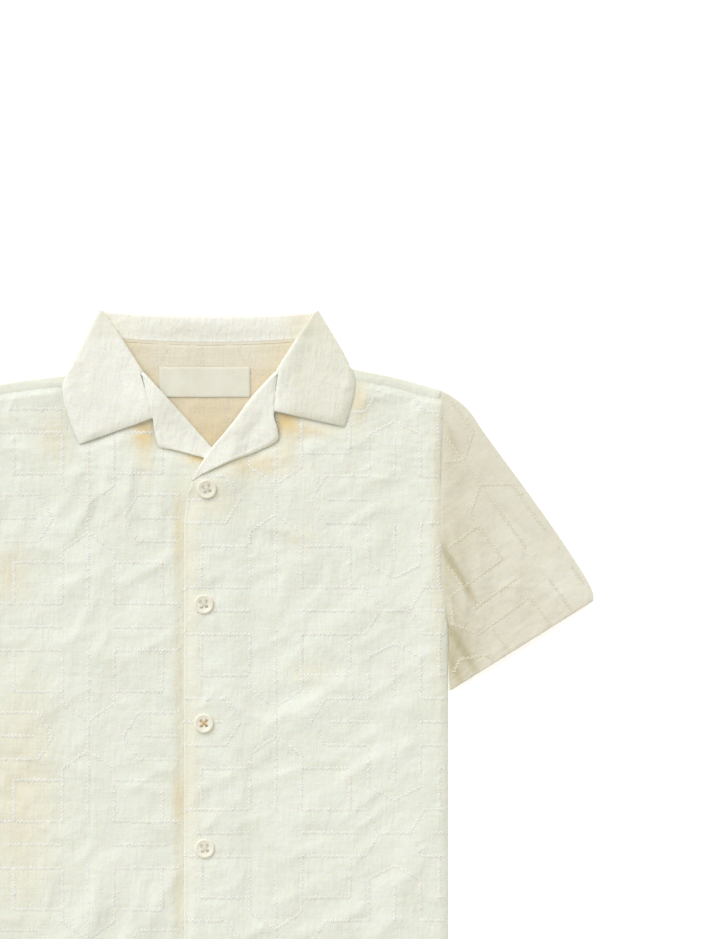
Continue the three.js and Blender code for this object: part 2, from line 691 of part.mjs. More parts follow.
// A button lies along the front under it, just clear of the cloth.
function placeButton(mesh, { x, y, turn }) {
  const STEP = 5;
  const z = (dx, dy) => frontZ("left", x + dx, y + dy);
  const slopeX = (z(STEP, 0) - z(-STEP, 0)) / (2 * STEP);
  const slopeY = (z(0, STEP) - z(0, -STEP)) / (2 * STEP);
  const normal = new THREE.Vector3(-slopeX, -slopeY, 1).normalize();
  mesh.quaternion.setFromUnitVectors(new THREE.Vector3(0, 0, 1), normal);
  mesh.rotateZ(turn);
  mesh.position.set(x, y, z(0, 0)).addScaledVector(normal, HALF_CLOTH + SEAM_GAP);
}

// The shirt
const CREAM = 0xf3f1e2;
const SATIN = 0xf4f2e8;
const SHELL = 0xefe9d8;
const finish = (color, roughness) => new THREE.MeshStandardMaterial({ color, roughness, metalness: 0 });
const shirt = new THREE.Group();

function add(name, geometry, material = finish(CREAM, 0.92)) {
  const mesh = new THREE.Mesh(geometry, material);
  mesh.name = name;
  shirt.add(mesh);
  return mesh;
}

add("back", backPanel());
add("front_right", frontPanel("right"));
add("front_left", frontPanel("left"));
add("sleeve_right", sleeve(-1));
add("sleeve_left", sleeve(1));
add("collar", collar());
add("label", label(), finish(SATIN, 0.6));
buttonPlaces.forEach((place, i) => placeButton(add(`button_${i + 1}`, button(), finish(SHELL, 0.35)), place));

export default shirt;
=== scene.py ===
# A toddler's camp shirt with a notched collar, buttoned and laid flat on its back.
# The cloth, stitching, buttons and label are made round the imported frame.
# Sizes are in millimetres, as in the part's source, and become metres where a mesh is made.
# Left and right are the wearer's, so the left half lies at +X.
import math

import bpy
import numpy as np
from mathutils import Matrix


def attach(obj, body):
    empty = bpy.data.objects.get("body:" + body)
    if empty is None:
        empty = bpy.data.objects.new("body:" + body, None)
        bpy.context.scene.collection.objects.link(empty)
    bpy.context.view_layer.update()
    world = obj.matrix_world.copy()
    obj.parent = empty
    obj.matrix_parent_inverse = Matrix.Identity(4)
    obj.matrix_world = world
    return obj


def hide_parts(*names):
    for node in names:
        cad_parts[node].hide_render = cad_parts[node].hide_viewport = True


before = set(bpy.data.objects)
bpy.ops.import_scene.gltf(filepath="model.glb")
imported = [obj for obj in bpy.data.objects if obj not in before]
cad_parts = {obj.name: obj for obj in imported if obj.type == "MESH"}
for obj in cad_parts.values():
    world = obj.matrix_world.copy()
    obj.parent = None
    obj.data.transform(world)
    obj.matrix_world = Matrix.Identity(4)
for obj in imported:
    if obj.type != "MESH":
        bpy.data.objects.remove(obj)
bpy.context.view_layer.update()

MM = 0.001

# Driving sizes, the same as the frame's
CHEST = 284.4
SIDE = CHEST / 2
HEM = -192.4
LAYER = 1.5
FOLD_RADIUS = LAYER / 2
BACK_Z = 0.6
CLOTH = 0.9
STEP = 1.7  # between the points of a panel
UNDERARM_Y = 4
SHOULDER_STRIP = 6
SEAM_GAP = 0.25
TUCK = 1.3  # how far a seam's lower piece reaches under the upper one


# Small helpers
def smooth(t):
    t = np.clip(t, 0, 1)
    return t * t * (3 - 2 * t)


def lerp(a, b, t):
    return a + (b - a) * t


def table(columns, rows):
    return {name: np.array([row[i] for row in rows], float) for i, name in enumerate(columns.split())}


FOLD = "x1 y1 x2 y2 rise reach"
PATCH = "x y reach_x reach_y rise"


def points(rows):
    return np.array(rows, float)


def lookup(xs, ys, value):
    """The y at a value of x, eased between the points."""
    value = np.asarray(value, float)
    i = np.clip(np.searchsorted(xs, value), 1, len(xs) - 1)
    share = (value - xs[i - 1]) / (xs[i] - xs[i - 1])
    return lerp(ys[i - 1], ys[i], smooth(share))


def curve(rows, samples=40):
    """A smooth curve through points, as a function of the share of its length."""
    p = points(rows)
    p = np.vstack([2 * p[0] - p[1], p, 2 * p[-1] - p[-2]])
    gaps = np.linalg.norm(np.diff(p, axis=0), axis=1) ** 0.5
    t = np.linspace(0, 1, samples, endpoint=False)[:, None]
    parts = []
    for i in range(1, len(p) - 2):
        a, b, c = gaps[i - 1], gaps[i], gaps[i + 1]
        start = b * ((p[i] - p[i - 1]) / a - (p[i + 1] - p[i - 1]) / (a + b) + (p[i + 1] - p[i]) / b)
        end = b * ((p[i + 1] - p[i]) / b - (p[i + 2] - p[i]) / (b + c) + (p[i + 2] - p[i + 1]) / c)
        step = p[i + 1] - p[i]
        parts.append(p[i] + start * t + (3 * step - 2 * start - end) * t**2 + (start + end - 2 * step) * t**3)
    return polyline(np.vstack(parts + [p[-2:-1]]))


def polyline(rows):
    """A line through points, as a function of the share of its length."""
    p = points(rows)
    length = np.concatenate([[0], np.cumsum(np.linalg.norm(np.diff(p, axis=0), axis=1))])

    def place(share):
        at = np.clip(share, 0, 1) * length[-1]
        return np.stack([np.interp(at, length, p[:, i]) for i in range(p.shape[1])], axis=-1)

    return place


def between_rows(values, t):
    """A column of a table at a row number that isn't whole, on a smooth curve."""
    v = np.concatenate([[2 * values[0] - values[1]], values, [2 * values[-1] - values[-2]]])
    t = np.clip(np.asarray(t, float), 0, len(values) - 1)
    i = np.minimum(t.astype(int), len(values) - 2)
    f = t - i
    a, b, c, d = v[i], v[i + 1], v[i + 2], v[i + 3]
    return b + 0.5 * f * (c - a + f * (2 * a - 5 * b + 4 * c - d + f * (3 * (b - c) + d - a)))


def spaced(length, step=STEP):
    return np.linspace(0, 1, max(2, int(math.ceil(length / step)) + 1))


# Outlines, the same as the frame's. x is counted outwards from the centre line.
# The leaves' rises are a little lower than the frame's.
ARMHOLE = points([(142.2, 4), (139.2, 14), (135.4, 40), (134, 75), (135, 110), (138.2, 143.8)])
FRONT_ARMHOLE = points([(142.2, 4), (141.6, 12), (139.4, 50), (138.2, 90), (138.8, 126), (140.8, 139)])
HALVES = {
    "left": {
        "sign": 1,
        "apex": points((64.6, 189.6)),
        "outer": points((82.9, 159.3)),
        "gorge": points((41.8, 156.5)),
        "leaf_end": points([(41.8, 156.5), (39.7, 132.7), (81.3, 123.4)]),
        "leaf_edge": points([
            (81.3, 123.4), (84.3, 131.6), (87.2, 143), (87.6, 150.6), (86, 156.2), (82.9, 159.3),
        ]),
        "neckline": points([(42.2, 154.2), (46, 153.9), (53, 156.6), (61, 164.4), (67, 172.1)]),
        "shoulder": points([
            (71.9, 177.4), (78.8, 166), (83, 159.1), (85, 156.8), (88, 156), (93, 155),
            (112, 151), (138.2, 143.8),
        ]),
        "lapel": table(
            "roll_x roll_y edge_x edge_y out_y",
            [
                (-7.6, 91.5, -6.8, 92.1, 90),
                (-5.6, 96, -2.3, 95.2, 94),
                (-2.3, 102.1, 7, 100, 98),
                (1.5, 108, 17, 104.3, 102),
                (5.5, 113.2, 28.7, 108.5, 106),
                (10.5, 118.8, 41.2, 115, 110),
                (17, 127, 42, 121.1, 114),
                (27.5, 141.3, 40.6, 127.3, 119),
                (41.8, 156.5, 39.7, 132.7, 124),
            ],
        ),
        "front_edge": points([(-12.3, HEM), (-12.3, 60), (-12, 68.7), (-10.5, 82.8), (-7.6, 91.5)]),
        "rises": table(PATCH, [(46, 128, 13, 13, 1.7), (70, 127, 12, 12, 0.8)]),
    },
    "right": {
        "sign": -1,
        "apex": points((60.6, 190.4)),
        "outer": points((78.6, 155.4)),
        "gorge": points((36.3, 155.9)),
        "leaf_end": points([(36.3, 155.9), (29.6, 128.6), (73.4, 113.2)]),
        "leaf_edge": points([
            (73.4, 113.2), (78.7, 125.8), (82.6, 138.9), (83.2, 148), (81.3, 153), (78.6, 155.4),
        ]),
        "neckline": points([(36.6, 153.6), (40.6, 153.4), (47.6, 156.2), (55.6, 164), (61.8, 172.1)]),
        "shoulder": points([
            (66.8, 177.4), (73.1, 165.6), (78.7, 155.2), (80.3, 153), (83, 152.3), (87.2, 151.7),
            (112, 148.6), (138.2, 143.8),
        ]),
        "lapel": table(
            "roll_x roll_y edge_x edge_y out_y",
            [
                (-12.3, 92, -11.5, 92.6, 90),
                (-11.6, 97, -8, 98, 94),
                (-9.6, 103.8, -1, 104.6, 98),
                (-7, 108, 9, 107.6, 102),
                (-3.5, 112, 19.3, 110.2, 106),
                (2, 118.2, 26, 111.6, 110),
                (9, 126.2, 28.2, 117, 114),
                (21, 139.5, 29.5, 123, 119),
                (36.3, 155.9, 29.6, 128.6, 124),
            ],
        ),
        "front_edge": points([(-12.3, HEM), (-12.3, 60), (-12.3, 92)]),
        "rises": table(PATCH, [(34, 127, 13, 13, 1.5), (62, 118, 12, 12, 1.2)]),
    },
}

# Large folds, the same as the frame's, and the finer ones between them
FOLDS = {
    "left": table(FOLD, [
        (44, 98, 60, 62, 0.9, 9),
        (62, -5, 104, 24, 1.1, 9),
        (40, 22, 66, 48, 0.9, 8),
        (34, -58, 88, -28, 1.2, 9),
        (58, -108, 118, -66, 1.1, 10),
        (108, -168, 128, -112, 1.2, 9),
        (34, -162, 84, -140, 0.9, 10),
        (100, 78, 112, 118, 0.8, 9),
    ]),
    "right": table(FOLD, [
        (48, 78, 54, 112, 1.6, 8),
        (72, 70, 78, 104, 1, 8),
        (22, -150, 48, -190, 1.5, 8),
        (52, -134, 74, -176, 1.3, 8),
        (30, -20, 80, -6, 1, 9),
        (62, 36, 100, 14, 1, 9),
        (90, -80, 112, -34, 1.1, 10),
        (96, 84, 112, 118, 0.8, 9),
    ]),
}
CREASES = {
    "left": table(FOLD, [
        (20, 94, 33, 74, 0.5, 3),
        (47, 104, 52, 78, 0.6, 3.5),
        (60, 110, 66, 84, 0.5, 3),
        (76, 114, 84, 96, 0.4, 3),
        (24, 66, 58, 60, 0.4, 3),
        (68, 66, 96, 82, 0.5, 3.5),
        (20, 34, 42, 42, 0.5, 3),
        (48, 6, 78, 26, 0.6, 3.5),
        (82, -8, 116, 10, 0.5, 3),
        (22, -10, 50, 2, 0.5, 3),
        (12, -38, 40, -52, 0.6, 3),
        (52, -44, 82, -24, 0.6, 3.5),
        (90, -40, 124, -14, 0.5, 3),
        (26, -88, 62, -74, 0.5, 3),
        (70, -92, 104, -66, 0.6, 3.5),
        (14, -112, 36, -104, 0.5, 3),
        (40, -134, 74, -118, 0.5, 3.5),
        (86, -132, 118, -104, 0.6, 3),
        (50, -176, 92, -160, 0.5, 3.5),
        (104, -150, 132, -128, 0.4, 3),
        (20, -180, 40, -164, 0.5, 3),
    ]),
    "right": table(FOLD, [
        (42, 108, 46, 72, 0.7, 3),
        (57, 106, 60, 66, 0.8, 3.5),
        (66, 100, 70, 70, 0.5, 3),
        (24, 90, 30, 60, 0.5, 3),
        (20, 46, 52, 30, 0.5, 3),
        (60, 40, 92, 26, 0.5, 3.5),
        (16, 4, 44, -12, 0.6, 3),
        (52, 10, 84, -4, 0.5, 3),
        (16, -38, 30, -30, 0.6, 2.5),
        (34, -48, 62, -32, 0.5, 3.5),
        (70, -30, 104, -52, 0.5, 3),
        (20, -74, 48, -92, 0.6, 3),
        (56, -84, 92, -70, 0.5, 3.5),
        (18, -118, 40, -104, 0.5, 3),
        (34, -140, 46, -172, 0.8, 3.5),
        (62, -132, 66, -164, 0.7, 3.5),
        (80, -120, 104, -104, 0.5, 3),
        (84, -160, 112, -140, 0.5, 3),
    ]),
}
SLEEVE_TOP = curve([
    (139.2, 143.6), (148.5, 137.2), (154.6, 131.4), (162.2, 120.1), (190.3, 81.5),
    (209, 54.6), (223.1, 32.4), (226.2, 25.4), (226.4, 20.9),
])
SLEEVE_UNDER = curve([(142.9, 6.5), (143.3, -12), (144.2, -30.6)])
SLEEVE_FOLDS = table(FOLD, [
    (0.12, 0.52, 0.42, 0.72, 1.5, 0.06),
    (0.1, 0.86, 0.5, 0.9, 1.6, 0.05),
    (0.55, 0.2, 0.8, 0.5, 0.9, 0.08),
    (0.3, 0.35, 0.55, 0.62, 0.9, 0.07),
])
SLEEVE_CREASES = table(FOLD, [
    (138, 54, 160, 18, -2.4, 2.2),
    (144, 60, 168, 22, 1.1, 4),
    (138, 42, 154, 10, 0.9, 3.5),
    (141, 8, 161, -23, -2.4, 2.4),
    (146, 16, 170, -14, 1.2, 4),
    (141, -8, 151, -28, -1.6, 2),
    (141, 30, 156, 4, -1.2, 1.8),
    (144, 2, 154, -20, 0.8, 3),
    (141, 126, 150, 104, -0.9, 2),
    (146, 128, 156, 108, 0.4, 3),
    (144, 88, 156, 64, 0.5, 3),
    (176, 86, 198, 66, 0.7, 3.5),
    (172, 78, 194, 58, -0.5, 2.6),
    (160, 108, 184, 96, 0.4, 3),
    (172, 46, 200, 32, 0.5, 3.5),
    (164, 34, 186, 20, 0.5, 3),
    (190, 30, 214, 20, 0.4, 3),
])

# Patches of painted warm shade, where thin cloth lies close on cloth and little light gets in
FRONT_PAINTED_SHADE = table(PATCH, [
    (-36, 120, 7, 9, 0.8),
    (-35, 106, 5, 12, 0.26),
    (-3, 105, 8, 3.5, 0.8),
    (46, 127, 10, 6, 0.85),
    (62, 121, 14, 4, 0.42),
    (47, 114, 8, 12, 0.25),
    (28, 101, 18, 7, 0.45),
    (90, 138, 5, 13, 0.4),
    (-15.5, 62, 3, 26, 0.38),
    (-15.5, -22, 2.5, 40, 0.22),
    (-15.5, -95, 3.5, 16, 0.4),
    (-15.5, -150, 3, 34, 0.25),
    (-8, 40, 5, 56, 0.16),
    (-8, -80, 5, 60, 0.18),
    (6, 80, 12, 10, 0.2),
    (-108, -95, 20, 62, 0.26),
    (-114, 38, 9, 15, 0.26),
    (-88, 118, 10, 14, 0.2),
    (56, 58, 8, 5, 0.15),
    (60, -20, 12, 5, 0.15),
    (136, 60, 4, 90, 0.2),
])
# On the sleeves, patches whose rise is below 0 are painted lighter.
SLEEVE_PAINTED_SHADE = table(PATCH, [
    (142, 30, 16, 70, 0.4),
    (144, -10, 14, 22, 0.65),
    (142, 110, 10, 26, 0.25),
    (150, 60, 12, 20, 0.15),
    (214, 34, 22, 20, -0.25),
    (186, 60, 10, 12, -0.12),
])


# Relief of the cloth
def beside_segment(x, y, x1, y1, x2, y2):
    """The share along a segment of the point nearest to x and y, and the distance from it."""
    dx, dy = x2 - x1, y2 - y1
    t = np.clip(((x - x1) * dx + (y - y1) * dy) / max(dx * dx + dy * dy, 1e-9), 0, 1)
    return t, np.hypot(x - x1 - dx * t, y - y1 - dy * t)


def distance_to(line, x, y):
    """Distance in plan from points to a line through points."""
    best = np.full(np.shape(x), np.inf)
    for start, end in zip(line[:-1], line[1:]):
        best = np.minimum(best, beside_segment(x, y, *start, *end)[1])
    return best


def crest(rows, x, y):
    """How high soft folds stand at x and y."""
    total = np.zeros(np.broadcast(x, y).shape)
    for *ends, rise, reach in zip(*rows.values()):
        t, distance = beside_segment(x, y, *ends)
        total = total + rise * np.exp(-((distance / reach) ** 2)) * (0.6 + 0.4 * np.sin(np.pi * t))
    return total


def wrinkles(rows, x, y):
    """Like crest, but with a sharper top, as crisp cotton has."""
    total = np.zeros(np.broadcast(x, y).shape)
    for *ends, rise, reach in zip(*rows.values()):
        t, distance = beside_segment(x, y, *ends)
        total = total + rise * np.exp(-((distance / reach) ** 1.4)) * np.sin(np.pi * (0.12 + 0.76 * t))
    return total


def lumps(rows, x, y):
    """Soft round rises, or patches, that reach differently across and along."""
    total = np.zeros(np.broadcast(x, y).shape)
    for cx, cy, reach_x, reach_y, rise in zip(*rows.values()):
        total = total + rise * np.exp(-(((x - cx) / reach_x) ** 2) - ((y - cy) / reach_y) ** 2)
    return total


def value_noise(x, y, size, seed):
    """Smooth noise from 0 to 1 whose lumps are about size across."""
    grid = np.random.RandomState(seed).rand(97, 97)
    u, v = x / size + 4000.37, y / size + 4000.61
    i, j = np.floor(u).astype(int), np.floor(v).astype(int)
    f, g = smooth(u - i), smooth(v - j)
    i, j = i % 96, j % 96
    low = lerp(grid[i, j], grid[i + 1, j], f)
    high = lerp(grid[i, j + 1], grid[i + 1, j + 1], f)
    return lerp(low, high, g)


def crumple(x, y, size, seed):
    """Sharp-crested ripples of about the given size, from 0 to 1, warped so that they wander."""
    wx = x + size * 1.5 * (value_noise(x, y, size * 2.5, seed + 1) - 0.5)
    wy = y + size * 1.5 * (value_noise(x, y, size * 2.5, seed + 2) - 0.5)
    return 1 - np.abs(2 * value_noise(wx, wy, size, seed) - 1)


def over_fall(x, y):
    """How far the back rises over the collar's fall, which lies under it."""
    return smooth((y - 119) / 25.5) * (1 - smooth((np.abs(x) - 89) / 30))


def side_x(armhole, y):
    """The side seam below the underarm, and an armhole's line above it."""
    along = np.clip(y, UNDERARM_Y, armhole[-1, 1])
    return np.where(y < UNDERARM_Y, SIDE, lookup(armhole[:, 1], armhole[:, 0], along))


def over_sleeve(x, y):
    """How far the front lies over the sleeve."""
    return smooth((x - 118) / 12) * smooth((y + 20) / 22)


def back_z(x, y):
    return BACK_Z + LAYER * over_fall(x, y)


def front_z(half, x, y):
    """Middle of a front, with its large folds."""
    lift = over_sleeve(x, y)
    clear_edge = smooth((SIDE - x) / 14) * (1 - lift)
    clear = clear_edge * (1 - smooth((y - 112) / 14)) * smooth((x - 16) / 14)
    z = back_z(x, y) + LAYER * (1 + lift) + crest(FOLDS[half], x, y) * clear
    if half == "right":
        return z + 2.6 * np.exp(-(((x - 27) / 15) ** 2) - ((y - 144) / 15) ** 2)
    over_right = 1 - smooth((x - 14) / 16)
    lapel = smooth((y - 81) / 10) * (1 - smooth((x - 16) / 14)) * (1 - smooth((y - 120) / 12))
    return z + LAYER * over_right * (1 + lapel)


def collar_rise(half, x, y):
    return lumps(HALVES[half]["rises"], x, y)


# The stitched lattice
# Bars of three lines cross at two kinds of crossing, P and Q, half a cell apart each way.
CELL_W = 139.0
CELL_H = {"left": 130.0, "right": 127.5}  # the cloth is stretched a little unevenly
BAR_X, BAR_Y = 15.1, 13.7  # half widths of the upright and the level bars
BOX_W, BOX_H = 43.4, 37.8  # reach of the small boxes beside the level bars at Q


def mirrored(lines):
    """Lines given for one quarter, repeated in all four."""
    return [(x1 * a, y1 * b, x2 * a, y2 * b) for x1, y1, x2, y2 in lines for a in (1, -1) for b in (1, -1)]


def cell_lines(cell_h):
    """One cell's lines, round a P crossing at 0, 0, with a quarter of a Q cell in each corner."""
    half_w, half_h = CELL_W / 2, cell_h / 2
    upright_end = half_h - BAR_Y
    level_end = half_w - BAR_X
    quarter = [
        (0, 8.6, BAR_X, 18.9),
        (BAR_X, 18.9, BAR_X, upright_end),
        (20.6, 0, 29.2, BAR_Y),
        (29.2, BAR_Y, level_end, BAR_Y),
        (BAR_X, upright_end, half_w - 17.2, upright_end),
        (half_w - 17.2, upright_end, half_w - 8.6, half_h),
        (level_end, BAR_Y, level_end, half_h - 27),
        (level_end, half_h - 27, half_w, half_h - 19.2),
        (BOX_W, upright_end, BOX_W, half_h - BOX_H),
        (BAR_X, half_h - BOX_H, BOX_W, half_h - BOX_H),
    ]
    centre = [
        (0, 0, 0, upright_end + 2.7),
        (0, 0, 0, -upright_end - 2.7),
        (30.9, 0, level_end, 0),
        (-30.9, 0, -level_end, 0),
    ]
    q_centre = [
        (half_w, BAR_Y, half_w, half_h - 29.2),
        (half_w, -BAR_Y, half_w, 29.2 - half_h),
        (BAR_X, half_h, half_w - 23.2, half_h),
        (half_w + 23.2, half_h, CELL_W - BAR_X, half_h),
        (half_w - 8.6, half_h, half_w + 8.6, half_h),
    ]
    return mirrored(quarter) + centre + q_centre


def lattice(centre, low, high, cell_h=CELL_H["left"]):
    """The lattice's lines with a P crossing at centre, over a box from low to high."""
    lines = np.array(cell_lines(cell_h))
    columns = range(math.floor((low[0] - centre[0]) / CELL_W), math.ceil((high[0] - centre[0]) / CELL_W) + 1)
    rows = range(math.floor((low[1] - centre[1]) / cell_h), math.ceil((high[1] - centre[1]) / cell_h) + 1)
    moved = []
    for i in columns:
        for j in rows:
            shift = np.array([centre[0] + i * CELL_W, centre[1] + j * cell_h])
            moved.append(lines + np.tile(shift, 2))
    lines = np.vstack(moved)
    middle = (lines[:, :2] + lines[:, 2:]) / 2
    inside = np.all((middle > np.array(low) - 40) & (middle < np.array(high) + 40), axis=1)
    return lines[inside]


def turned(lines, origin, angle):
    """Lines from a panel's own axes to the shirt's."""
    c, s = math.cos(angle), math.sin(angle)
    turn = np.array([[c, s], [-s, c]])
    return np.hstack([lines[:, :2] @ turn + origin, lines[:, 2:] @ turn + origin])


RIPPLE_LENGTH, RIPPLE_DEPTH = 5.2, 0.18


def puckers(lines, x, y, depth=0.22, reach=2.8):
    """The cloth dips along each stitched line and ripples finely beside it."""
    dip = np.zeros(x.shape)
    ripple = np.zeros(x.shape)
    for number, (x1, y1, x2, y2) in enumerate(lines):
        dx, dy = x2 - x1, y2 - y1
        length = math.hypot(dx, dy)
        along = ((x - x1) * dx + (y - y1) * dy) / length
        share = np.clip(along / length, 0, 1)
        off = np.hypot(x - x1 - dx * share, y - y1 - dy * share)
        near = np.exp(-((off / reach) ** 2))
        dip = np.maximum(dip, near)
        length_of_wave = RIPPLE_LENGTH + 1.1 * math.sin(number)
        wave = 0.5 + 0.5 * np.sin(2 * np.pi * along / length_of_wave + number)
        ripple = np.maximum(ripple, wave * np.exp(-((off / (1.9 * reach)) ** 2)))
    return depth * (1 - dip) + RIPPLE_DEPTH * ripple


# Meshes
def shell(rows, thickness=CLOTH, ring=False, sign=1, puff=0.35, thin=0.0):
    """A closed wall of cloth round rows of points, with rounded edges. Rows may be ragged.

    thin is how far the upper face comes down at the edges, for all points or for each one.
    Gives its vertices and faces, and the point that each vertex was made from.
    """
    counts = [len(row) for row in rows]
    starts = np.concatenate([[0], np.cumsum(counts)])
    p = np.vstack(rows)
    quads = []
    for i in range(len(rows) - 1):
        n = min(counts[i], counts[i + 1])
        j = np.arange(n if ring else n - 1)
        k = (j + 1) % n
        a, b = starts[i], starts[i + 1]
        quads.append(np.stack([a + j, a + k, b + k, b + j], axis=1))
    quads = np.vstack(quads)
    normals = vertex_normals(p, quads)
    loop = boundary(quads)
    top, bottom = p + normals * thickness / 2, p - normals * thickness / 2
    outward = edge_directions(p, normals, loop)
    edge = np.unique(loop)
    inset = puff * thickness
    top[edge] -= outward[edge] * inset * 0.5 + normals[edge] * inset * 0.4
    bottom[edge] -= outward[edge] * inset * 0.5 - normals[edge] * inset * 0.4
    middle = p[edge] + outward[edge] * inset * 0.5
    lower = np.broadcast_to(thin, len(p))[edge]
    top_looks_up = normals[edge, 2] > 0
    top[edge, 2] -= lower * top_looks_up
    bottom[edge, 2] -= lower * ~top_looks_up
    middle[:, 2] -= 0.6 * lower
    number = np.full(len(p), -1)
    number[edge] = np.arange(len(edge)) + 2 * len(p)
    low = len(p)
    sides = [
        np.stack([loop[:, 1], loop[:, 0], number[loop[:, 0]], number[loop[:, 1]]], axis=1),
        np.stack([number[loop[:, 1]], number[loop[:, 0]], loop[:, 0] + low, loop[:, 1] + low], axis=1),
    ]
    faces = np.vstack([quads, quads[:, ::-1] + low] + sides)
    vertices = np.vstack([top, bottom, middle])
    vertices[:, 0] *= sign
    source = np.concatenate([np.arange(low), np.arange(low), edge])
    return vertices, faces if sign > 0 else faces[:, ::-1], source


def vertex_normals(p, quads):
    face = np.cross(p[quads[:, 2]] - p[quads[:, 0]], p[quads[:, 3]] - p[quads[:, 1]])
    normals = np.zeros_like(p)
    for k in range(4):
        np.add.at(normals, quads[:, k], face)
    return normals / np.maximum(np.linalg.norm(normals, axis=1, keepdims=True), 1e-9)


def boundary(quads):
    """Edges that only one face has, in that face's order."""
    edges = np.vstack([quads[:, [k, (k + 1) % 4]] for k in range(4)])
    key = np.sort(edges, axis=1)
    _, first, count = np.unique(key[:, 0] * 10**7 + key[:, 1], return_index=True, return_counts=True)
    return edges[first[count == 1]]


def edge_directions(p, normals, loop):
    """For each point on the boundary, the way out of the cloth."""
    along = p[loop[:, 1]] - p[loop[:, 0]]
    out = np.zeros_like(p)
    for k in range(2):
        np.add.at(out, loop[:, k], np.cross(along, normals[loop[:, k]]))
    return out / np.maximum(np.linalg.norm(out, axis=1, keepdims=True), 1e-9)


def make_object(name, vertices, faces, material):
    mesh = bpy.data.meshes.new(name)
    mesh.from_pydata((np.asarray(vertices) * MM).tolist(), [], [[int(i) for i in face] for face in faces])
    mesh.update()
    mesh.polygons.foreach_set("use_smooth", [True] * len(mesh.polygons))
    piece = bpy.data.objects.new(name, mesh)
    bpy.context.scene.collection.objects.link(piece)
    piece.data.materials.append(material)
    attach(piece, "root")
    return piece


def make_cloth(name, wall, material, shade, trim=None, trimmed=None, trim_shade_share=1.0):
    """A piece of cloth. shade gives how much painted warm shade it has at x and y, on faces that look up.

    trim is another material, for the points that are marked in trimmed. They keep a share of the painted
    shade.
    """
    vertices, faces, source = wall
    piece = make_object(name, vertices, faces, material)
    normals = np.empty(len(vertices) * 3, np.float32)
    piece.data.vertex_normals.foreach_get("vector", normals)
    looks_up = normals.reshape(-1, 3)[:, 2] > 0
    depth = np.where(looks_up, np.clip(shade(vertices[:, 0], vertices[:, 1]), 0, 1), 0)
    if trim:
        marked = trimmed[source] & looks_up
        depth[marked] *= trim_shade_share
        piece.data.materials.append(trim)
        piece.data.polygons.foreach_set("material_index", np.all(marked[faces], axis=1).astype(np.int32))
    # The painted shade goes into the shade attribute, which the cloth materials read.
    attribute = piece.data.attributes.new("shade", "FLOAT", "POINT")
    attribute.data.foreach_set("value", depth.astype(np.float32))
    return piece


# Stitches
def inside(outline, x, y):
    """Which points lie inside an outline in plan."""
    px, py = outline[:, 0], outline[:, 1]
    qx, qy = np.roll(px, -1), np.roll(py, -1)
    hits = np.zeros(len(x), int)
    for x1, y1, x2, y2 in zip(px, py, qx, qy):
        crosses = (y1 > y) != (y2 > y)
        if y1 != y2:
            hits += crosses & (x < (x2 - x1) * (y - y1) / (y2 - y1) + x1)
    return hits % 2 == 1


ZIGZAG_PITCH = 1.22  # along the line, for one stroke
ZIGZAG_WIDTH = 2.4
THREAD = 0.9


def zigzag(lines):
    """Middles and directions in plan of the strokes of zigzag stitching along lines."""
    chance = np.random.RandomState(5)
    places, ways = [], []
    for x1, y1, x2, y2 in lines:
        size = math.hypot(x2 - x1, y2 - y1)
        count = max(1, round(size / ZIGZAG_PITCH))
        along = np.array([x2 - x1, y2 - y1]) / size
        side = np.array([-along[1], along[0]])
        t = (np.arange(count) + 0.5) * size / count
        turn = np.where(np.arange(count) % 2 == 0, 1.0, -1.0) * (1 + 0.12 * chance.randn(count))
        places.append(np.array([x1, y1]) + t[:, None] * along + 0.1 * chance.randn(count, 2))
        ways.append(along * (size / count) + side * turn[:, None] * ZIGZAG_WIDTH)
    return np.vstack(places), np.vstack(ways)


GRAIN_SIDES = 6


def strokes(places, ways, height, sign, thread, lift):
    """Stitches as short round threads with pointed ends, on the cloth that height gives at x and y."""
    x, y = places[:, 0], places[:, 1]
    reach = 0.8
    slope_x = (height(x + reach, y) - height(x - reach, y)) / (2 * reach)
    slope_y = (height(x, y + reach) - height(x, y - reach)) / (2 * reach)
    normal = np.stack([-slope_x, -slope_y, np.ones_like(x)], axis=1)
    normal /= np.linalg.norm(normal, axis=1, keepdims=True)
    along = np.stack([ways[:, 0], ways[:, 1], ways[:, 0] * slope_x + ways[:, 1] * slope_y], axis=1)
    side = np.cross(normal, along)
    side /= np.linalg.norm(side, axis=1, keepdims=True)
    centre = np.stack([x, y, height(x, y)], axis=1) + normal * lift
    angle = np.arange(GRAIN_SIDES) * 2 * np.pi / GRAIN_SIDES
    around = [side * math.cos(a) * thread / 2 + normal * math.sin(a) * thread * 0.13 for a in angle]
    near_end = [centre - along * 0.33 + one for one in around]
    far_end = [centre + along * 0.33 + one for one in around]
    tips = [centre - along * 0.54 - normal * 0.2, centre + along * 0.54 - normal * 0.2]
    vertices = np.stack(near_end + far_end + tips, axis=1).reshape(-1, 3)
    vertices[:, 0] *= sign
    j = np.arange(GRAIN_SIDES)
    k = (j + 1) % GRAIN_SIDES
    low = np.full(GRAIN_SIDES, 2 * GRAIN_SIDES)
    pattern = np.vstack([
        np.stack([j, j + GRAIN_SIDES, k + GRAIN_SIDES], axis=1),
        np.stack([j, k + GRAIN_SIDES, k], axis=1),
        np.stack([low, j, k], axis=1),
        np.stack([low + 1, k + GRAIN_SIDES, j + GRAIN_SIDES], axis=1),
    ])
    if sign < 0:
        pattern = pattern[:, ::-1]
    faces = (pattern[None] + (2 * GRAIN_SIDES + 2) * np.arange(len(x))[:, None, None]).reshape(-1, 3)
    return vertices, faces


# Materials
def new_material(name, sockets):
    """A material, its tree and its shader, with the values of some of the shader's sockets."""
    material = bpy.data.materials.new(name)
    material.use_nodes = True
    shader = material.node_tree.nodes["Principled BSDF"]
    for socket, value in sockets.items():
        shader.inputs[socket].default_value = value
    return material, material.node_tree, shader


def object_place(tree):
    return tree.nodes.new("ShaderNodeTexCoord").outputs["Object"]


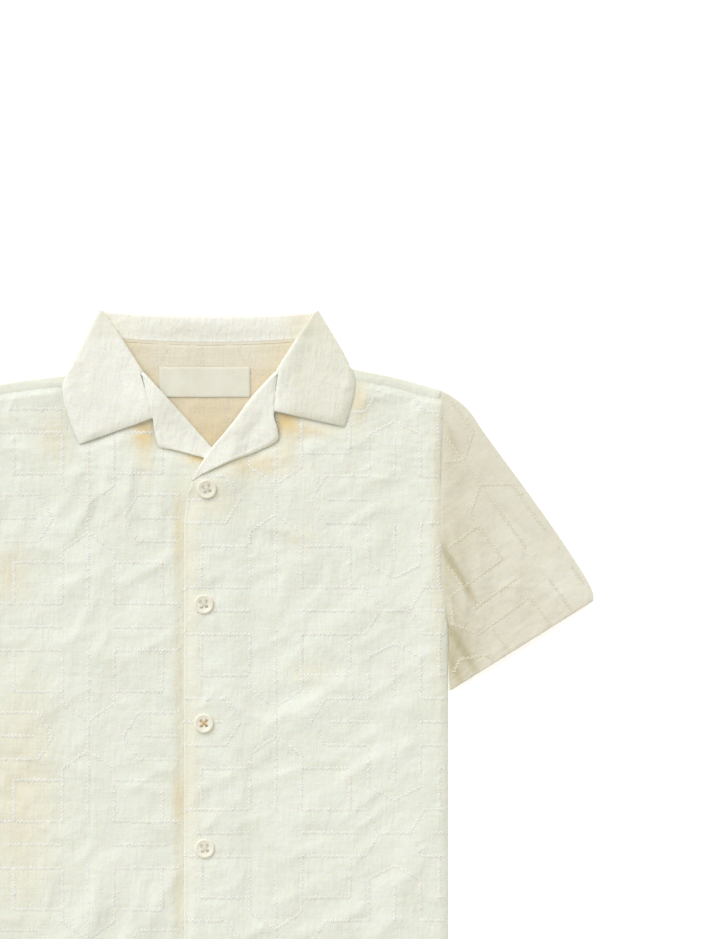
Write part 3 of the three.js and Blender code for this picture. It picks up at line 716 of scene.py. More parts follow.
def linear(*srgb):
    """A colour from its 0 to 255 display values."""
    values = [c / 255 for c in srgb]
    return [c / 12.92 if c <= 0.04045 else ((c + 0.055) / 1.055) ** 2.4 for c in values] + [1]


def noise_node(tree, coordinates, scale, detail=4, roughness=0.6):
    node = tree.nodes.new("ShaderNodeTexNoise")
    node.inputs["Scale"].default_value = scale
    node.inputs["Detail"].default_value = detail
    node.inputs["Roughness"].default_value = roughness
    tree.links.new(coordinates, node.inputs["Vector"])
    return node.outputs["Fac"]


def wave_node(tree, coordinates, direction, scale, distortion):
    node = tree.nodes.new("ShaderNodeTexWave")
    node.bands_direction = direction
    node.inputs["Scale"].default_value = scale
    node.inputs["Distortion"].default_value = distortion
    node.inputs["Detail"].default_value = 2
    node.inputs["Detail Scale"].default_value = 1.5
    tree.links.new(coordinates, node.inputs["Vector"])
    return node.outputs["Fac"]


def math_node(tree, operation, a, b):
    node = tree.nodes.new("ShaderNodeMath")
    node.operation = operation
    for socket, value in zip(node.inputs, (a, b)):
        if isinstance(value, (int, float)):
            socket.default_value = value
        else:
            tree.links.new(value, socket)
    return node.outputs["Value"]


def ramp_node(tree, factor, stops):
    node = tree.nodes.new("ShaderNodeValToRGB")
    tree.links.new(factor, node.inputs["Fac"])
    elements = node.color_ramp.elements
    while len(elements) < len(stops):
        elements.new(0.5)
    for element, (position, colour) in zip(elements, stops):
        element.position = position
        element.color = colour
    return node.outputs["Color"]


def bump_node(tree, height, distance, strength, before=None):
    node = tree.nodes.new("ShaderNodeBump")
    node.inputs["Distance"].default_value = distance
    node.inputs["Strength"].default_value = strength
    tree.links.new(height, node.inputs["Height"])
    if before is not None:
        tree.links.new(before, node.inputs["Normal"])
    return node.outputs["Normal"]


def stretched_noise(tree, coordinates, scale, across, along):
    """Noise drawn out one way, as slubs of yarn and small pressed creases are."""
    mapping = tree.nodes.new("ShaderNodeMapping")
    mapping.inputs["Scale"].default_value = (across, along, 1)
    tree.links.new(coordinates, mapping.inputs["Vector"])
    return noise_node(tree, mapping.outputs["Vector"], scale, 3, 0.55)


# The colour that painted warm shade mixes towards, on the fronts and the back.
WARM_SHADE_COLOUR = (234, 208, 152)


def cloth_material(name, light, dark, crinkle, turn=0.0, upright=0.5, shade_colour=WARM_SHADE_COLOUR):
    """Cotton cloth: slubs both ways, a fine crinkle, and painted warm shade where its shade attribute says.
    """
    material, tree, shader = new_material(name, {
        "Roughness": 0.92,
        "Subsurface Weight": 0.25,
        "Subsurface Radius": (1.0, 0.75, 0.45),
        "Subsurface Scale": 0.001,
        "Sheen Weight": 0.06,
        "Sheen Roughness": 0.5,
    })
    mapping = tree.nodes.new("ShaderNodeMapping")
    mapping.inputs["Rotation"].default_value = (0, 0, turn)
    tree.links.new(object_place(tree), mapping.inputs["Vector"])
    coordinates = mapping.outputs["Vector"]
    warp = stretched_noise(tree, coordinates, 900, 1, 0.07)
    weft = stretched_noise(tree, coordinates, 900, 0.07, 1)
    weave = math_node(tree, "ADD", warp, weft)
    pressed = stretched_noise(tree, coordinates, 420, 1, 0.22)
    crumple_height = noise_node(tree, coordinates, 150, 5, 0.6)
    normal = bump_node(tree, crumple_height, 0.0016, crinkle)
    normal = bump_node(tree, pressed, 0.0009, upright, normal)
    normal = bump_node(tree, weave, 0.0003, 0.5, normal)
    tree.links.new(normal, shader.inputs["Normal"])
    blotch = noise_node(tree, coordinates, 26, 3)
    blotch = math_node(tree, "MULTIPLY", blotch, 0.6)
    shade = math_node(tree, "ADD", blotch, math_node(tree, "MULTIPLY", weave, 0.2))
    colour = ramp_node(tree, shade, [(0.32, linear(*dark)), (0.68, linear(*light))])
    # Painted shade: the shade attribute mixes the cloth's colour towards the shade colour.
    depth = tree.nodes.new("ShaderNodeAttribute")
    depth.attribute_name = "shade"
    mix = tree.nodes.new("ShaderNodeMix")
    mix.data_type = "RGBA"
    mix.inputs["B"].default_value = linear(*shade_colour)
    tree.links.new(depth.outputs["Fac"], mix.inputs["Factor"])
    tree.links.new(colour, mix.inputs["A"])
    tree.links.new(mix.outputs["Result"], shader.inputs["Base Color"])
    return material


def thread_material(name, colour):
    material, tree, shader = new_material(name, {
        "Roughness": 0.8,
        "Subsurface Weight": 0.1,
        "Subsurface Radius": (1.0, 0.8, 0.5),
        "Subsurface Scale": 0.0006,
        "Sheen Weight": 0.2,
    })
    fibre = noise_node(tree, object_place(tree), 2600, 3)
    darker = tuple(round(c * 0.94) for c in colour)
    mottled = ramp_node(tree, fibre, [(0.3, linear(*darker)), (0.7, linear(*colour))])
    tree.links.new(mottled, shader.inputs["Base Color"])
    tree.links.new(bump_node(tree, fibre, 0.0001, 0.2), shader.inputs["Normal"])
    return material


def button_material():
    material, tree, shader = new_material("button shell", {
        "Roughness": 0.5,
        "Subsurface Weight": 0.3,
        "Subsurface Radius": (1.0, 0.8, 0.55),
        "Subsurface Scale": 0.0012,
    })
    place = object_place(tree)
    cloud = noise_node(tree, place, 260, 3)
    colour = ramp_node(tree, cloud, [(0.3, linear(234, 230, 212)), (0.7, linear(243, 240, 226))])
    tree.links.new(colour, shader.inputs["Base Color"])
    fine = noise_node(tree, place, 1500, 2)
    tree.links.new(bump_node(tree, fine, 0.0001, 0.15), shader.inputs["Normal"])
    return material


def label_material():
    material, tree, shader = new_material("label satin", {
        "Roughness": 0.5,
        "Subsurface Weight": 0.15,
        "Subsurface Scale": 0.0006,
        "Sheen Weight": 0.15,
    })
    place = object_place(tree)
    rib = wave_node(tree, place, "Y", 700, 0.6)
    cloud = noise_node(tree, place, 90, 3)
    colour = ramp_node(tree, cloud, [(0.3, linear(227, 224, 206)), (0.7, linear(235, 233, 217))])
    tree.links.new(colour, shader.inputs["Base Color"])
    tree.links.new(bump_node(tree, rib, 0.0002, 0.3), shader.inputs["Normal"])
    return material


CLOTH_LIGHT, CLOTH_DARK = (238, 241, 230), (230, 232, 218)
COLLAR_LIGHT, COLLAR_DARK, COLLAR_SHADE_COLOUR = (246, 246, 236), (239, 238, 226), (206, 204, 174)
# The inside of the stand is painted lighter than the collar, as painted light on its slope.
LIT_STAND_LIGHT, LIT_STAND_DARK, STAND_SHADE_COLOUR = (250, 248, 238), (243, 241, 228), (232, 222, 194)
# The inside of the back is painted darker and warmer than its outside, as painted shade.
SHADED_INSIDE_LIGHT, SHADED_INSIDE_DARK, INSIDE_SHADE_COLOUR = (235, 231, 214), (227, 221, 202), (224, 204, 158)
# The sleeves are painted a little darker than the fronts, as painted shade.
SLEEVE_LIGHT, SLEEVE_DARK, SLEEVE_SHADE_COLOUR = (234, 232, 218), (226, 222, 205), (198, 190, 158)
SLEEVE_GRAIN = 0.63
cloth_mat = cloth_material("stitched cotton", CLOTH_LIGHT, CLOTH_DARK, 0.45)
back_mat = cloth_material("stitched cotton of the back", CLOTH_LIGHT, CLOTH_DARK, 0.4)
shaded_inside_mat = cloth_material("inside of the back", SHADED_INSIDE_LIGHT, SHADED_INSIDE_DARK, 0.4, shade_colour=INSIDE_SHADE_COLOUR)
collar_mat = cloth_material("plain cotton", COLLAR_LIGHT, COLLAR_DARK, 0.5, 0.12, 0.6, COLLAR_SHADE_COLOUR)
lit_stand_mat = cloth_material("inside of the stand", LIT_STAND_LIGHT, LIT_STAND_DARK, 0.5, 0.12, 0.7, STAND_SHADE_COLOUR)
sleeve_mat = {
    sign: cloth_material(f"sleeve cotton {side}", SLEEVE_LIGHT, SLEEVE_DARK, 0.45, turn, shade_colour=SLEEVE_SHADE_COLOUR)
    for side, sign, turn in (("left", 1, -SLEEVE_GRAIN), ("right", -1, SLEEVE_GRAIN))
}
stitch_mat = thread_material("cream thread", (251, 250, 238))
# The threads on the sleeves and inside the back are painted darker and warmer than the fronts' thread, as
# painted shade, like the cloth under them.
sleeve_stitch_mat = thread_material("sleeve thread", (236, 230, 206))
back_stitch_mat = thread_material("thread inside the back", (238, 228, 202))
shell_thread_mat = thread_material("button thread", (236, 231, 213))
brown_mat = thread_material("brown thread", (220, 184, 132))
shell_mat = button_material()
satin_mat = label_material()


# Shoulder and collar lines
def fold_line(half):
    shape = HALVES[half]
    along = (shape["outer"] - shape["apex"]) / np.linalg.norm(shape["outer"] - shape["apex"])
    stand = np.linalg.norm(shape["apex"] - shape["shoulder"][0]) - SEAM_GAP
    return along, np.array([-along[1], along[0]]), stand


def shoulder(half, share):
    """Point, outward normal and strip of the back at shares of the shoulder's fold."""
    share = np.atleast_1d(share)
    line = curve(HALVES[half]["shoulder"])
    step = line(np.minimum(1, share + 0.01)) - line(np.maximum(0, share - 0.01))
    step /= np.linalg.norm(step, axis=1, keepdims=True)
    outward = np.stack([-step[:, 1], step[:, 0]], axis=1)
    strip = lerp(0.8, SHOULDER_STRIP, np.clip(share / 0.2, 0, 1))
    return line(share), outward, strip


def front_top(half, share):
    point, outward, strip = shoulder(half, share)
    corner = 0.8 * (1 - np.clip(np.atleast_1d(share) / 0.1, 0, 1))
    end = smooth((np.atleast_1d(share) - 0.9) / 0.1)[:, None] * np.array([2, 1])
    return point - outward * (strip + SEAM_GAP + corner)[:, None] + end


def sag(t):
    return np.sin(np.pi * np.clip(t, 0, 1)) ** 0.7


NECK_SEAM_SAG, ROLL_SAG, EDGE_SAG, BACK_ROLL_LIFT = 4.3, 4, 8.5, 2.4
COLLAR_MIDDLE_Z = BACK_Z + LAYER * 1.5


# Back panel
BACK_CREASES = table(FOLD, [
    (28.6, 162, 28.2, 138, -0.3, 1.2),
    (-30, 160, -46, 150, 0.3, 2.5),
    (34, 160, 46, 152, 0.35, 2.5),
    (-20, 130, 8, 124, 0.3, 3),
    (-14, 138, 20, 134, 0.25, 2.5),
])


def back_shows(x, y):
    """Where the neck shows the inside of the back; elsewhere other layers lie on it."""
    return smooth((y - 100) / 12) * (1 - smooth((np.abs(x) - 60) / 15))


def back_relief(lines, x, y):
    relief = 0.35 * crumple(x, y, 9, 41) + 0.35 * puckers(lines, x, y, 0.3) + wrinkles(BACK_CREASES, x, y)
    return back_shows(x, y) * (relief - 0.12)


def back_painted_shade(x, y):
    """Painted shade on the inside of the back, which lies low under the other layers: darkest beside the
    collar and in the point of the neck.
    """
    point = np.exp(-((x - 2) / 14) ** 2 - ((y - 116) / 16) ** 2)
    beside = smooth((np.abs(x) - 26) / 20) * smooth((y - 130) / 10)
    above = smooth((y - 154) / 6)
    strip = 0.05 * smooth((np.abs(x) - 80) / 6) * smooth((y - 130) / 6)
    return strip + back_shows(x, y) * (0.4 - 0.3 * above + 0.3 * point + 0.26 * beside)


def back_column(top, outward, strip, sign, lines):
    """A column of the back from the hem to the neck, or round the shoulder's fold to its seam."""
    blend_y, reach = 96, 0 if strip else 2.4
    end = top[1] - reach
    share = top[0] / ARMHOLE[-1, 0]
    low = np.linspace(HEM, UNDERARM_Y, 64)
    mid = np.linspace(UNDERARM_Y, blend_y, 40)[1:]
    high = lerp(blend_y, end, np.linspace(0, 1, 40)[1:])
    y = np.concatenate([low, mid, high])
    x = share * side_x(ARMHOLE, y)
    z = back_z(x, y) + back_relief(lines, x, y)
    column = np.stack([x, y, z], axis=1)
    fold_z = back_z(*top)
    turns, flat = 8, 9
    steps = np.arange(1, turns + flat + 1)
    if strip:
        angle = np.pi * np.minimum(1, steps / turns)
        past = np.maximum(0, steps - turns) / flat
        move = FOLD_RADIUS * np.sin(angle) - past * strip
        wrapped = top + outward * move[:, None]
        crinkle = 0.4 * crumple(wrapped[:, 0], wrapped[:, 1], 7, 61) * smooth(past / 0.3)
        rest = fold_z + FOLD_RADIUS * (1 - np.cos(angle)) + crinkle - 0.35 * smooth((past - 0.5) / 0.5)
        rest = np.column_stack([wrapped, rest])
    else:
        rest_y = top[1] + reach * (steps / steps[-1] - 1) + TUCK * smooth(steps / steps[-1])
        sinks = 0.3 * smooth(steps / steps[-1])
        rest = np.column_stack([np.full(len(steps), top[0]), rest_y, back_z(top[0], rest_y) - sinks])
    column = np.vstack([column, rest])
    column[:, 0] *= sign
    return column


def neck_seam(t):
    a, b = HALVES["left"]["shoulder"][0], HALVES["right"]["shoulder"][0]
    return np.array([lerp(a[0], -b[0], t), lerp(a[1], b[1], t) - NECK_SEAM_SAG * sag(t)])


LATTICE_CENTRES = {"back": (-1.5, 38), "left": (41.4, -49.3), "right": (68.4, -57.6), "sleeve": (156.1, 96.2)}
SHOULDER_LENGTH = 84


def make_back():
    lines = lattice(LATTICE_CENTRES["back"], (-60, 90), (60, 180))

    def under_shoulder(half, shares):
        sign = HALVES[half]["sign"]
        return [back_column(p, n, s, sign, lines) for p, n, s in zip(*shoulder(half, shares))]

    shares = spaced(SHOULDER_LENGTH, 2.2)
    neck = [back_column(neck_seam(t), None, 0, 1, lines) for t in np.linspace(0.012, 0.988, 62)]
    columns = under_shoulder("left", shares[::-1]) + neck + under_shoulder("right", shares)
    flat = np.vstack(columns)
    # Where the inside shows, it takes the material painted in shade.
    shown = (back_shows(flat[:, 0], flat[:, 1]) > 0.3) & (flat[:, 2] < BACK_Z + LAYER + 1)
    piece = make_cloth("back_cloth", shell(columns), back_mat, back_painted_shade, shaded_inside_mat, shown)
    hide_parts("back")
    return lines


# Fronts
def front_outer(y):
    return np.stack([side_x(FRONT_ARMHOLE, y), y], axis=-1)


def lapel_rows(half, count=76):
    lapel = HALVES[half]["lapel"]
    last = len(lapel["roll_x"]) - 1
    t = np.linspace(0, last, count)
    roll = np.stack([between_rows(lapel["roll_x"], t), between_rows(lapel["roll_y"], t)], axis=1)
    edge = np.stack([between_rows(lapel["edge_x"], t), between_rows(lapel["edge_y"], t)], axis=1)
    across = edge - roll
    size = np.linalg.norm(across, axis=1, keepdims=True)
    across /= size
    share = t / last
    radius = FOLD_RADIUS + 0.85 * smooth((share - 0.5) / 0.4)
    inset = np.minimum(radius + 0.6, 0.5 * size[:, 0] + 0.6)
    inner = roll + across * inset[:, None]
    outer = front_outer(between_rows(lapel["out_y"], t))
    bow = 0.36 * smooth((t - 4) / 4)
    return inner, outer, bow, {"across": across, "edge": edge, "radius": radius, "share": share}


def front_rows(half):
    shape = HALVES[half]
    edge = shape["front_edge"]
    y = np.linspace(HEM, 88.5, 165)
    levels = np.stack([lookup(edge[:, 1], edge[:, 0], y), y], axis=1)
    inner, outer, bow, flap = lapel_rows(half)
    neckline = curve(np.vstack([shape["neckline"], front_top(half, 0)]))
    share = np.linspace(0, 1, 27)[1:]
    neck_outer = front_outer(lerp(124, 137, share))
    neck_outer[-1] = front_top(half, 1)[0]
    return (
        np.vstack([levels, inner, neckline(share)]),
        np.vstack([front_outer(y), outer, neck_outer]),
        np.concatenate([np.zeros(len(y)), bow, lerp(0.36, 1, share)]),
        flap,
        len(y),
    )


PLACKET_PUCKERS = table(FOLD, [
    (-4, -42, 8, -30, 0.9, 2.6),
    (2, -40, 14, -34, 0.7, 2.4),
    (-6, -60, 6, -72, 0.5, 2.6),
    (-3, -114, 9, -104, 0.8, 2.6),
    (2, -132, 14, -140, 0.5, 2.6),
    (-4, 30, 8, 38, 0.5, 2.6),
    (0, 10, 12, 4, 0.4, 2.6),
    (4, 74, 16, 66, 0.5, 3),
])


def leaf_outline(half):
    """What the collar's leaf and the lapel cover of a front."""
    shape = HALVES[half]
    lapel = shape["lapel"]
    edge = np.column_stack([lapel["edge_x"], lapel["edge_y"]])
    return np.vstack([edge, shape["leaf_end"][1:], shape["leaf_edge"][1:], (90, 200), (-20, 200)])


def front_relief(half, lines, x, y):
    """Creases, crumple and puckers of a front, faded out where the collar or other layers lie on it."""
    cover = leaf_outline(half)
    covered = inside(cover, np.ravel(x), np.ravel(y)).reshape(np.shape(x))
    below_seam = smooth((shoulder_height(half, x) - y + 1) / 4)
    free = np.where(covered, 0, smooth(distance_to(cover, x, y) / 7)) * below_seam
    if half == "right":
        free = free * lerp(1, smooth((x - 12.6) / 7), 1 - smooth((y - 70) / 16))
    else:
        free = free * lerp(1, smooth((x + 12) / 8), 1 - smooth((y - 76) / 12))
    relief = 1.3 * wrinkles(CREASES[half], x, y) * smooth((x + 6) / 14)
    if half == "left":
        relief = relief + wrinkles(PLACKET_PUCKERS, x, y)
    seed = 50 if half == "left" else 70
    relief = relief + 1.05 * crumple(x + 0.5 * y, y - 0.5 * x, 18, seed) + 0.38 * crumple(x, y, 7, seed + 5)
    return free * (relief + puckers(lines, x, y))


def shoulder_height(half, x):
    top = front_top(half, np.linspace(0, 1, 30))
    return np.interp(x, top[:, 0], top[:, 1])


def sewn_down(half, x, y, rest, relief):
    """A front with its relief. It rests on the sleeve, turns down to it, and meets the shoulder's strip."""
    near_shoulder = 1 - smooth((shoulder_height(half, x) - y) / 10)
    rest = rest - over_sleeve(x, y) * lerp(0.5, LAYER, near_shoulder)
    beside = side_x(FRONT_ARMHOLE, y) - x
    return rest + relief * smooth(beside / 5) - 0.75 * (1 - smooth((beside + 0.3) / 3.2))


def placket_ridge(x, y):
    """The doubled edge of the left front, which stands a little off the right one."""
    edge = HALVES["left"]["front_edge"]
    beside = x - lookup(edge[:, 1], edge[:, 0], np.clip(y, HEM, edge[-1, 1]))
    ridge = 0.3 * np.exp(-(((beside - 0.8) / 0.9) ** 2)) - 0.6 * (1 - smooth(beside / 6))
    return ridge * (1 - smooth((y - 84) / 8))


def front_surface(half, lines):
    """Height of the middle of a front at x and y in the half's own directions."""

    def height(x, y):
        z = sewn_down(half, x, y, front_z(half, x, y), front_relief(half, lines, x, y))
        return z + placket_ridge(x, y) if half == "left" else z

    return height


# Painted warm shade on the fronts, from the listed patches.
def front_painted_shade(x, y):
    return lumps(FRONT_PAINTED_SHADE, x, y)


FRONT_WIDTH = 156
LAPEL_THINS = 0.4


def make_front(half):
    lines = lattice(LATTICE_CENTRES[half], (-14, HEM), (SIDE, 150), CELL_H[half])
    surface = front_surface(half, lines)
    inner, outer, bow, flap, flap_start = front_rows(half)
    across = np.concatenate([[0, 0.6, 1.2, 1.9, 2.8], lerp(4, FRONT_WIDTH, spaced(FRONT_WIDTH - 4))])
    shares = across / FRONT_WIDTH
    chord = lerp(front_top(half, 0), front_top(half, 1), shares[:, None])
    bend = front_top(half, shares) - chord
    rows = []
    for i in range(len(inner)):
        p = lerp(inner[i], outer[i], shares[:, None]) + bend * bow[i]
        z = surface(p[:, 0], p[:, 1])
        row = np.column_stack([p, z])[::-1]
        k = i - flap_start
        if 0 <= k < len(flap["share"]):
            row = np.vstack([row, lapel_row(half, inner[i], surface, {key: v[k] for key, v in flap.items()})])
        rows.append(row)
    _, outward, _ = shoulder(half, shares[::-1])
    for part in (0.5, 1):
        tucked = rows[flap_start + len(flap["share"]) + 25].copy()
        tucked[:, :2] += outward * TUCK * part
        tucked[:, 2] -= 0.3 * smooth(part)
        rows.append(tucked)
    lapel = np.concatenate([np.arange(len(row)) >= len(shares) for row in rows])
    wall = shell(rows, sign=HALVES[half]["sign"], thin=LAPEL_THINS * lapel)
    # The fronts get painted warm shade; the lapel, in the collar's cloth, gets none.
    piece = make_cloth(f"front_{half}_cloth", wall, cloth_mat, front_painted_shade, collar_mat, lapel, 0)
    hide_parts(f"front_{half}")
    outline = np.vstack([inner[:-1], front_top(half, np.linspace(0, 1, 30)), outer[-2::-1]])
    return lines, surface, outline


def lapel_row(half, inner, surface, flap):
    """One row of the lapel: round the roll, then out over the front to the lapel's edge."""
    base = surface(inner[0], inner[1])
    reach = max(0.0, float((flap["edge"] - inner) @ flap["across"]))
    turn = math.pi * min(1, 0.35 + 0.65 * float(smooth(flap["share"] / 0.3)))
    angle = turn * np.arange(1, 9) / 8
    arc = inner - flap["across"] * (flap["radius"] * np.sin(angle))[:, None]
    arc = np.column_stack([arc, base + flap["radius"] * (1 - np.cos(angle))])
    t = np.arange(1, 31) / 30
    flat = arc[-1, :2] + flap["across"] * ((reach + 0.6) * t)[:, None]
    x, y = flat[:, 0], flat[:, 1]
    rest = front_z(half, x, y) + LAYER + 0.25 + collar_rise(half, x, y) * smooth((flap["share"] - 0.3) / 0.4)
    rest = rest + 0.5 * crumple(x, y, 8, 91) * smooth(t / 0.3) + 0.2 * smooth((t - 0.8) / 0.1)
    rest = rest - 0.95 * smooth((t - 0.86) / 0.14) * (1 - 0.6 * float(smooth((flap["share"] - 0.6) / 0.2)))
    z = lerp(arc[-1, 2], rest, smooth(reach * t / 12))
    sewn = float(smooth((flap["share"] - 0.97) / 0.03)) * (0.5 + 0.5 * smooth(t / 0.15))
    flat[:, 0] += TUCK * sewn
    arc[:, 0] += TUCK * sewn[-1] * smooth(angle / turn * 1.6 - 0.6)
    return np.vstack([arc, np.column_stack([flat, z - 0.8 * sewn])])


# Sleeves
def sleeve_rings(sign, lines):
    v = np.concatenate([[-0.012, -0.006], spaced(150, 1.6)])
    q = spaced(150, 1.7)
    fold = np.arange(1, 8) / 8
    armhole = polyline((ARMHOLE + [0.4, 0])[::-1])
    chord = lerp(SLEEVE_TOP(0), SLEEVE_UNDER(0), q[:, None])
    bulge = armhole(q) - chord
    rings = []
    for share in v:
        tucked = np.array([min(0, share) * 150, 0])
        top, under = SLEEVE_TOP(share) + tucked, SLEEVE_UNDER(share) + tucked
        bend = (1 - max(0, share)) ** 3
        middle = lerp(top, under, q[:, None]) + bulge * (bend * np.sin(np.pi * q) ** 0.5)[:, None]
        middle[:, 0] -= 0.9 * (1 - smooth(q / 0.08)) * (1 - smooth(share / 0.03))
        free = smooth((share - 0.012) / 0.05) * np.sin(np.pi * q) ** 0.5
        x, y = middle[:, 0], middle[:, 1]
        folds = crest(SLEEVE_FOLDS, share, q) * smooth((share - 0.06) / 0.12)
        rise = free * (folds + sleeve_relief(lines, x, y, sign)) - 0.5 * (share < 0)
        cuff = 0.35 * smooth((share - 0.885) / 0.012)
        upper = np.column_stack([middle, BACK_Z + LAYER + rise + cuff * np.sin(np.pi * q) ** 0.5])
        lower = np.column_stack([middle, np.full(len(q), BACK_Z)])[::-1]
        rings.append(np.vstack([
            upper,
            sleeve_fold(middle[-1], middle[-2], fold, -1),
            lower,
            sleeve_fold(middle[0], middle[1], fold, 1),
        ]))
    return rings


def sleeve_fold(end, inner, fold, side):
    away = (end - inner) / np.linalg.norm(end - inner)
    angle = np.pi * fold
    p = end + away * (FOLD_RADIUS * np.sin(angle))[:, None]
    return np.column_stack([p, BACK_Z + FOLD_RADIUS * (1 - side * np.cos(angle))])


def sleeve_relief(lines, x, y, sign):
    seed = 110 + sign
    relief = wrinkles(SLEEVE_CREASES, x, y)
    relief = relief + 0.7 * crumple(x, y, 15, seed) + 0.35 * crumple(x, y, 6.5, seed + 4)
    raised = 0.9 * np.exp(-(((x - 150) / 14) ** 2) - ((y - 12) / 46) ** 2)
    relief = 0.35 + raised + relief + puckers(lines, x, y)
    return relief + 0.15 * np.log1p(np.exp(-(relief + 0.3) / 0.15))


# Painted shade on the sleeves: a little everywhere, patches near the armhole, and the valleys of the creases
# painted darker.
def sleeve_painted_shade(x, y):
    valleys = np.maximum(0, -wrinkles(SLEEVE_CREASES, np.abs(x), y))
    return 0.12 + 0.75 * lumps(SLEEVE_PAINTED_SHADE, np.abs(x), y) + 0.3 * valleys


SLEEVE_TURN = 36


def make_sleeve(side, sign):
    grid = lattice((0, 0), (-150, -150), (150, 150))
    lines = turned(grid, np.array(LATTICE_CENTRES["sleeve"]), math.radians(SLEEVE_TURN))
    rings = sleeve_rings(sign, lines)
    wall = shell(rings, ring=True, sign=sign)
    piece = make_cloth(f"sleeve_{side}_cloth", wall, sleeve_mat[sign], sleeve_painted_shade)
    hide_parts(f"sleeve_{side}")
    outline = np.vstack([SLEEVE_TOP(np.linspace(0, 1, 40)), SLEEVE_UNDER(np.linspace(1, 0, 20))])
    return lines, outline, piece


# Collar
def collar_seam(half, share):
    """The collar's side of the neckline at one share, and on the fold at 1."""
    shape = HALVES[half]
    along, _, stand = fold_line(half)
    if share >= 1:
        return shape["apex"] + along * stand
    line = curve(np.vstack([shape["neckline"], front_top(half, 0)]))
    tangent = line(share + 0.01) - line(max(0, share - 0.01))
    tangent /= np.linalg.norm(tangent)
    seam = line(share) + np.array([-tangent[1], tangent[0]]) * SEAM_GAP
    return lerp(seam, shape["apex"] + along * stand, float(smooth((share - 0.9) / 0.1)))


COLLAR_WALL = 0.7
COLLAR_THINS = 0.3
ROLL_STEPS = np.arange(1, 12) / 12
LEAF_SHARES = np.linspace(0, 1, 33)
STAND_SHARES = np.concatenate([[1.08, 1.04], np.linspace(1, 0, 10)])


def roll_over(stand, leaf, radius, towards):
    """Stand and leaf joined by half a turn at the roll."""
    a, b = stand[-1], leaf[0]
    middle = lerp(a, b, ((1 - np.cos(np.pi * ROLL_STEPS)) / 2)[:, None])
    roll = middle + towards * (radius * np.sin(np.pi * ROLL_STEPS))[:, None]
    return np.vstack([stand, roll, leaf])


def leaf_relief(x, y, q):
    """Crinkle of the collar, with the seam allowance that shows as a low band along its edge."""
    crinkle = 0.45 * crumple(x, y, 9, 131) + 0.3 * crumple(x * 1.3, y * 0.6, 4.5, 137)
    band = 0.22 * smooth((q - 0.8) / 0.06)
    return crinkle * smooth(q / 0.2) + band


def collar_front(half, share):
    shape = HALVES[half]
    along, _, _ = fold_line(half)
    apex, outer, gorge = shape["apex"], shape["outer"], shape["gorge"]
    roll_along = (apex - gorge) / np.linalg.norm(apex - gorge)
    inward = np.array([roll_along[1], -roll_along[0]])
    wide = FOLD_RADIUS + 0.85
    radius = lerp(wide, FOLD_RADIUS, float(smooth((share - 0.5) / 0.5)))
    start = gorge + inward * (wide + 0.1) - roll_along * 1.2
    roll = lerp(start, apex, share)
    end_line = polyline(np.vstack([start, shape["leaf_end"][1:]]) + [0.1, 0])
    edge = curve(shape["leaf_edge"])
    q = LEAF_SHARES
    begin = end_line(q) + np.column_stack([SEAM_GAP * (1 - smooth(q / 0.5)), np.zeros(len(q))])
    finish = lerp(apex, outer, q[:, None])
    p = lerp(roll, edge(share), q[:, None]) + lerp(begin, finish, share)
    p = p - lerp(lerp(start, apex, share), lerp(edge(0), edge(1), share), q[:, None])
    x, y = p[:, 0], p[:, 1]
    near_fold = float(smooth((share - 0.85) / 0.15))
    rest = front_z(half, x, y) + LAYER + collar_rise(half, x, y) * (1 - float(smooth((share - 0.5) / 0.4)))
    level = lerp(front_z(half, *roll) + 2 * radius, rest, smooth(q / 0.3))
    z = lerp(level, COLLAR_MIDDLE_Z + 1.5 * LAYER, near_fold)
    by_end = float(1 - smooth(share / 0.09))
    by_lapel = 1 - smooth((q - 0.3) / 0.06)
    near_notch = np.exp(-(((q - 0.36) / 0.22) ** 2))
    sinks = 0.8 * by_end * (1 - by_lapel) * (1 - near_notch) + 0.2 * by_end * by_lapel
    by_edge = smooth((q - 0.9) / 0.1) * (1 - near_fold)
    relief = leaf_relief(x, y, q) * (1 - 0.6 * np.maximum(near_fold, np.maximum(by_edge, by_end)))
    z = z + 0.2 + relief - np.maximum(sinks, 1.0 * by_edge)
    leaf = np.column_stack([p, z])
    s = STAND_SHARES[:, None]
    stand = lerp(roll, collar_seam(half, share), s)
    stand_z = lerp(front_z(half, stand[:, 0], stand[:, 1]), COLLAR_MIDDLE_Z + 0.5 * LAYER, near_fold)
    towards = lerp(np.append(-inward, 0), np.append(-along, 0), float(smooth((share - 0.6) / 0.4)))
    return roll_over(np.column_stack([stand, stand_z]), leaf, radius, towards / np.linalg.norm(towards))


def collar_turn(half, angle):
    """Round the fold over the shoulder, from the front at angle 0 to the back at half a turn."""
    shape = HALVES[half]
    along, outward, height = fold_line(half)

    def layer(p, radius, reach=1.0):
        moved = p + outward * (radius * math.sin(angle) * reach)
        return np.column_stack([moved, np.full(len(p), COLLAR_MIDDLE_Z + radius * math.cos(angle))])

    tapered = 1 - 0.3 * smooth((LEAF_SHARES[:, None] - 0.75) / 0.25)
    stand = layer(shape["apex"] + along * height * STAND_SHARES[:, None], FOLD_RADIUS)
    leaf = layer(lerp(shape["apex"], shape["outer"], LEAF_SHARES[:, None]), FOLD_RADIUS + LAYER, tapered)
    leaf[:, 2] += 0.2 * (1 + math.cos(angle)) / 2
    return roll_over(stand, leaf, FOLD_RADIUS, np.append(-along, 0))


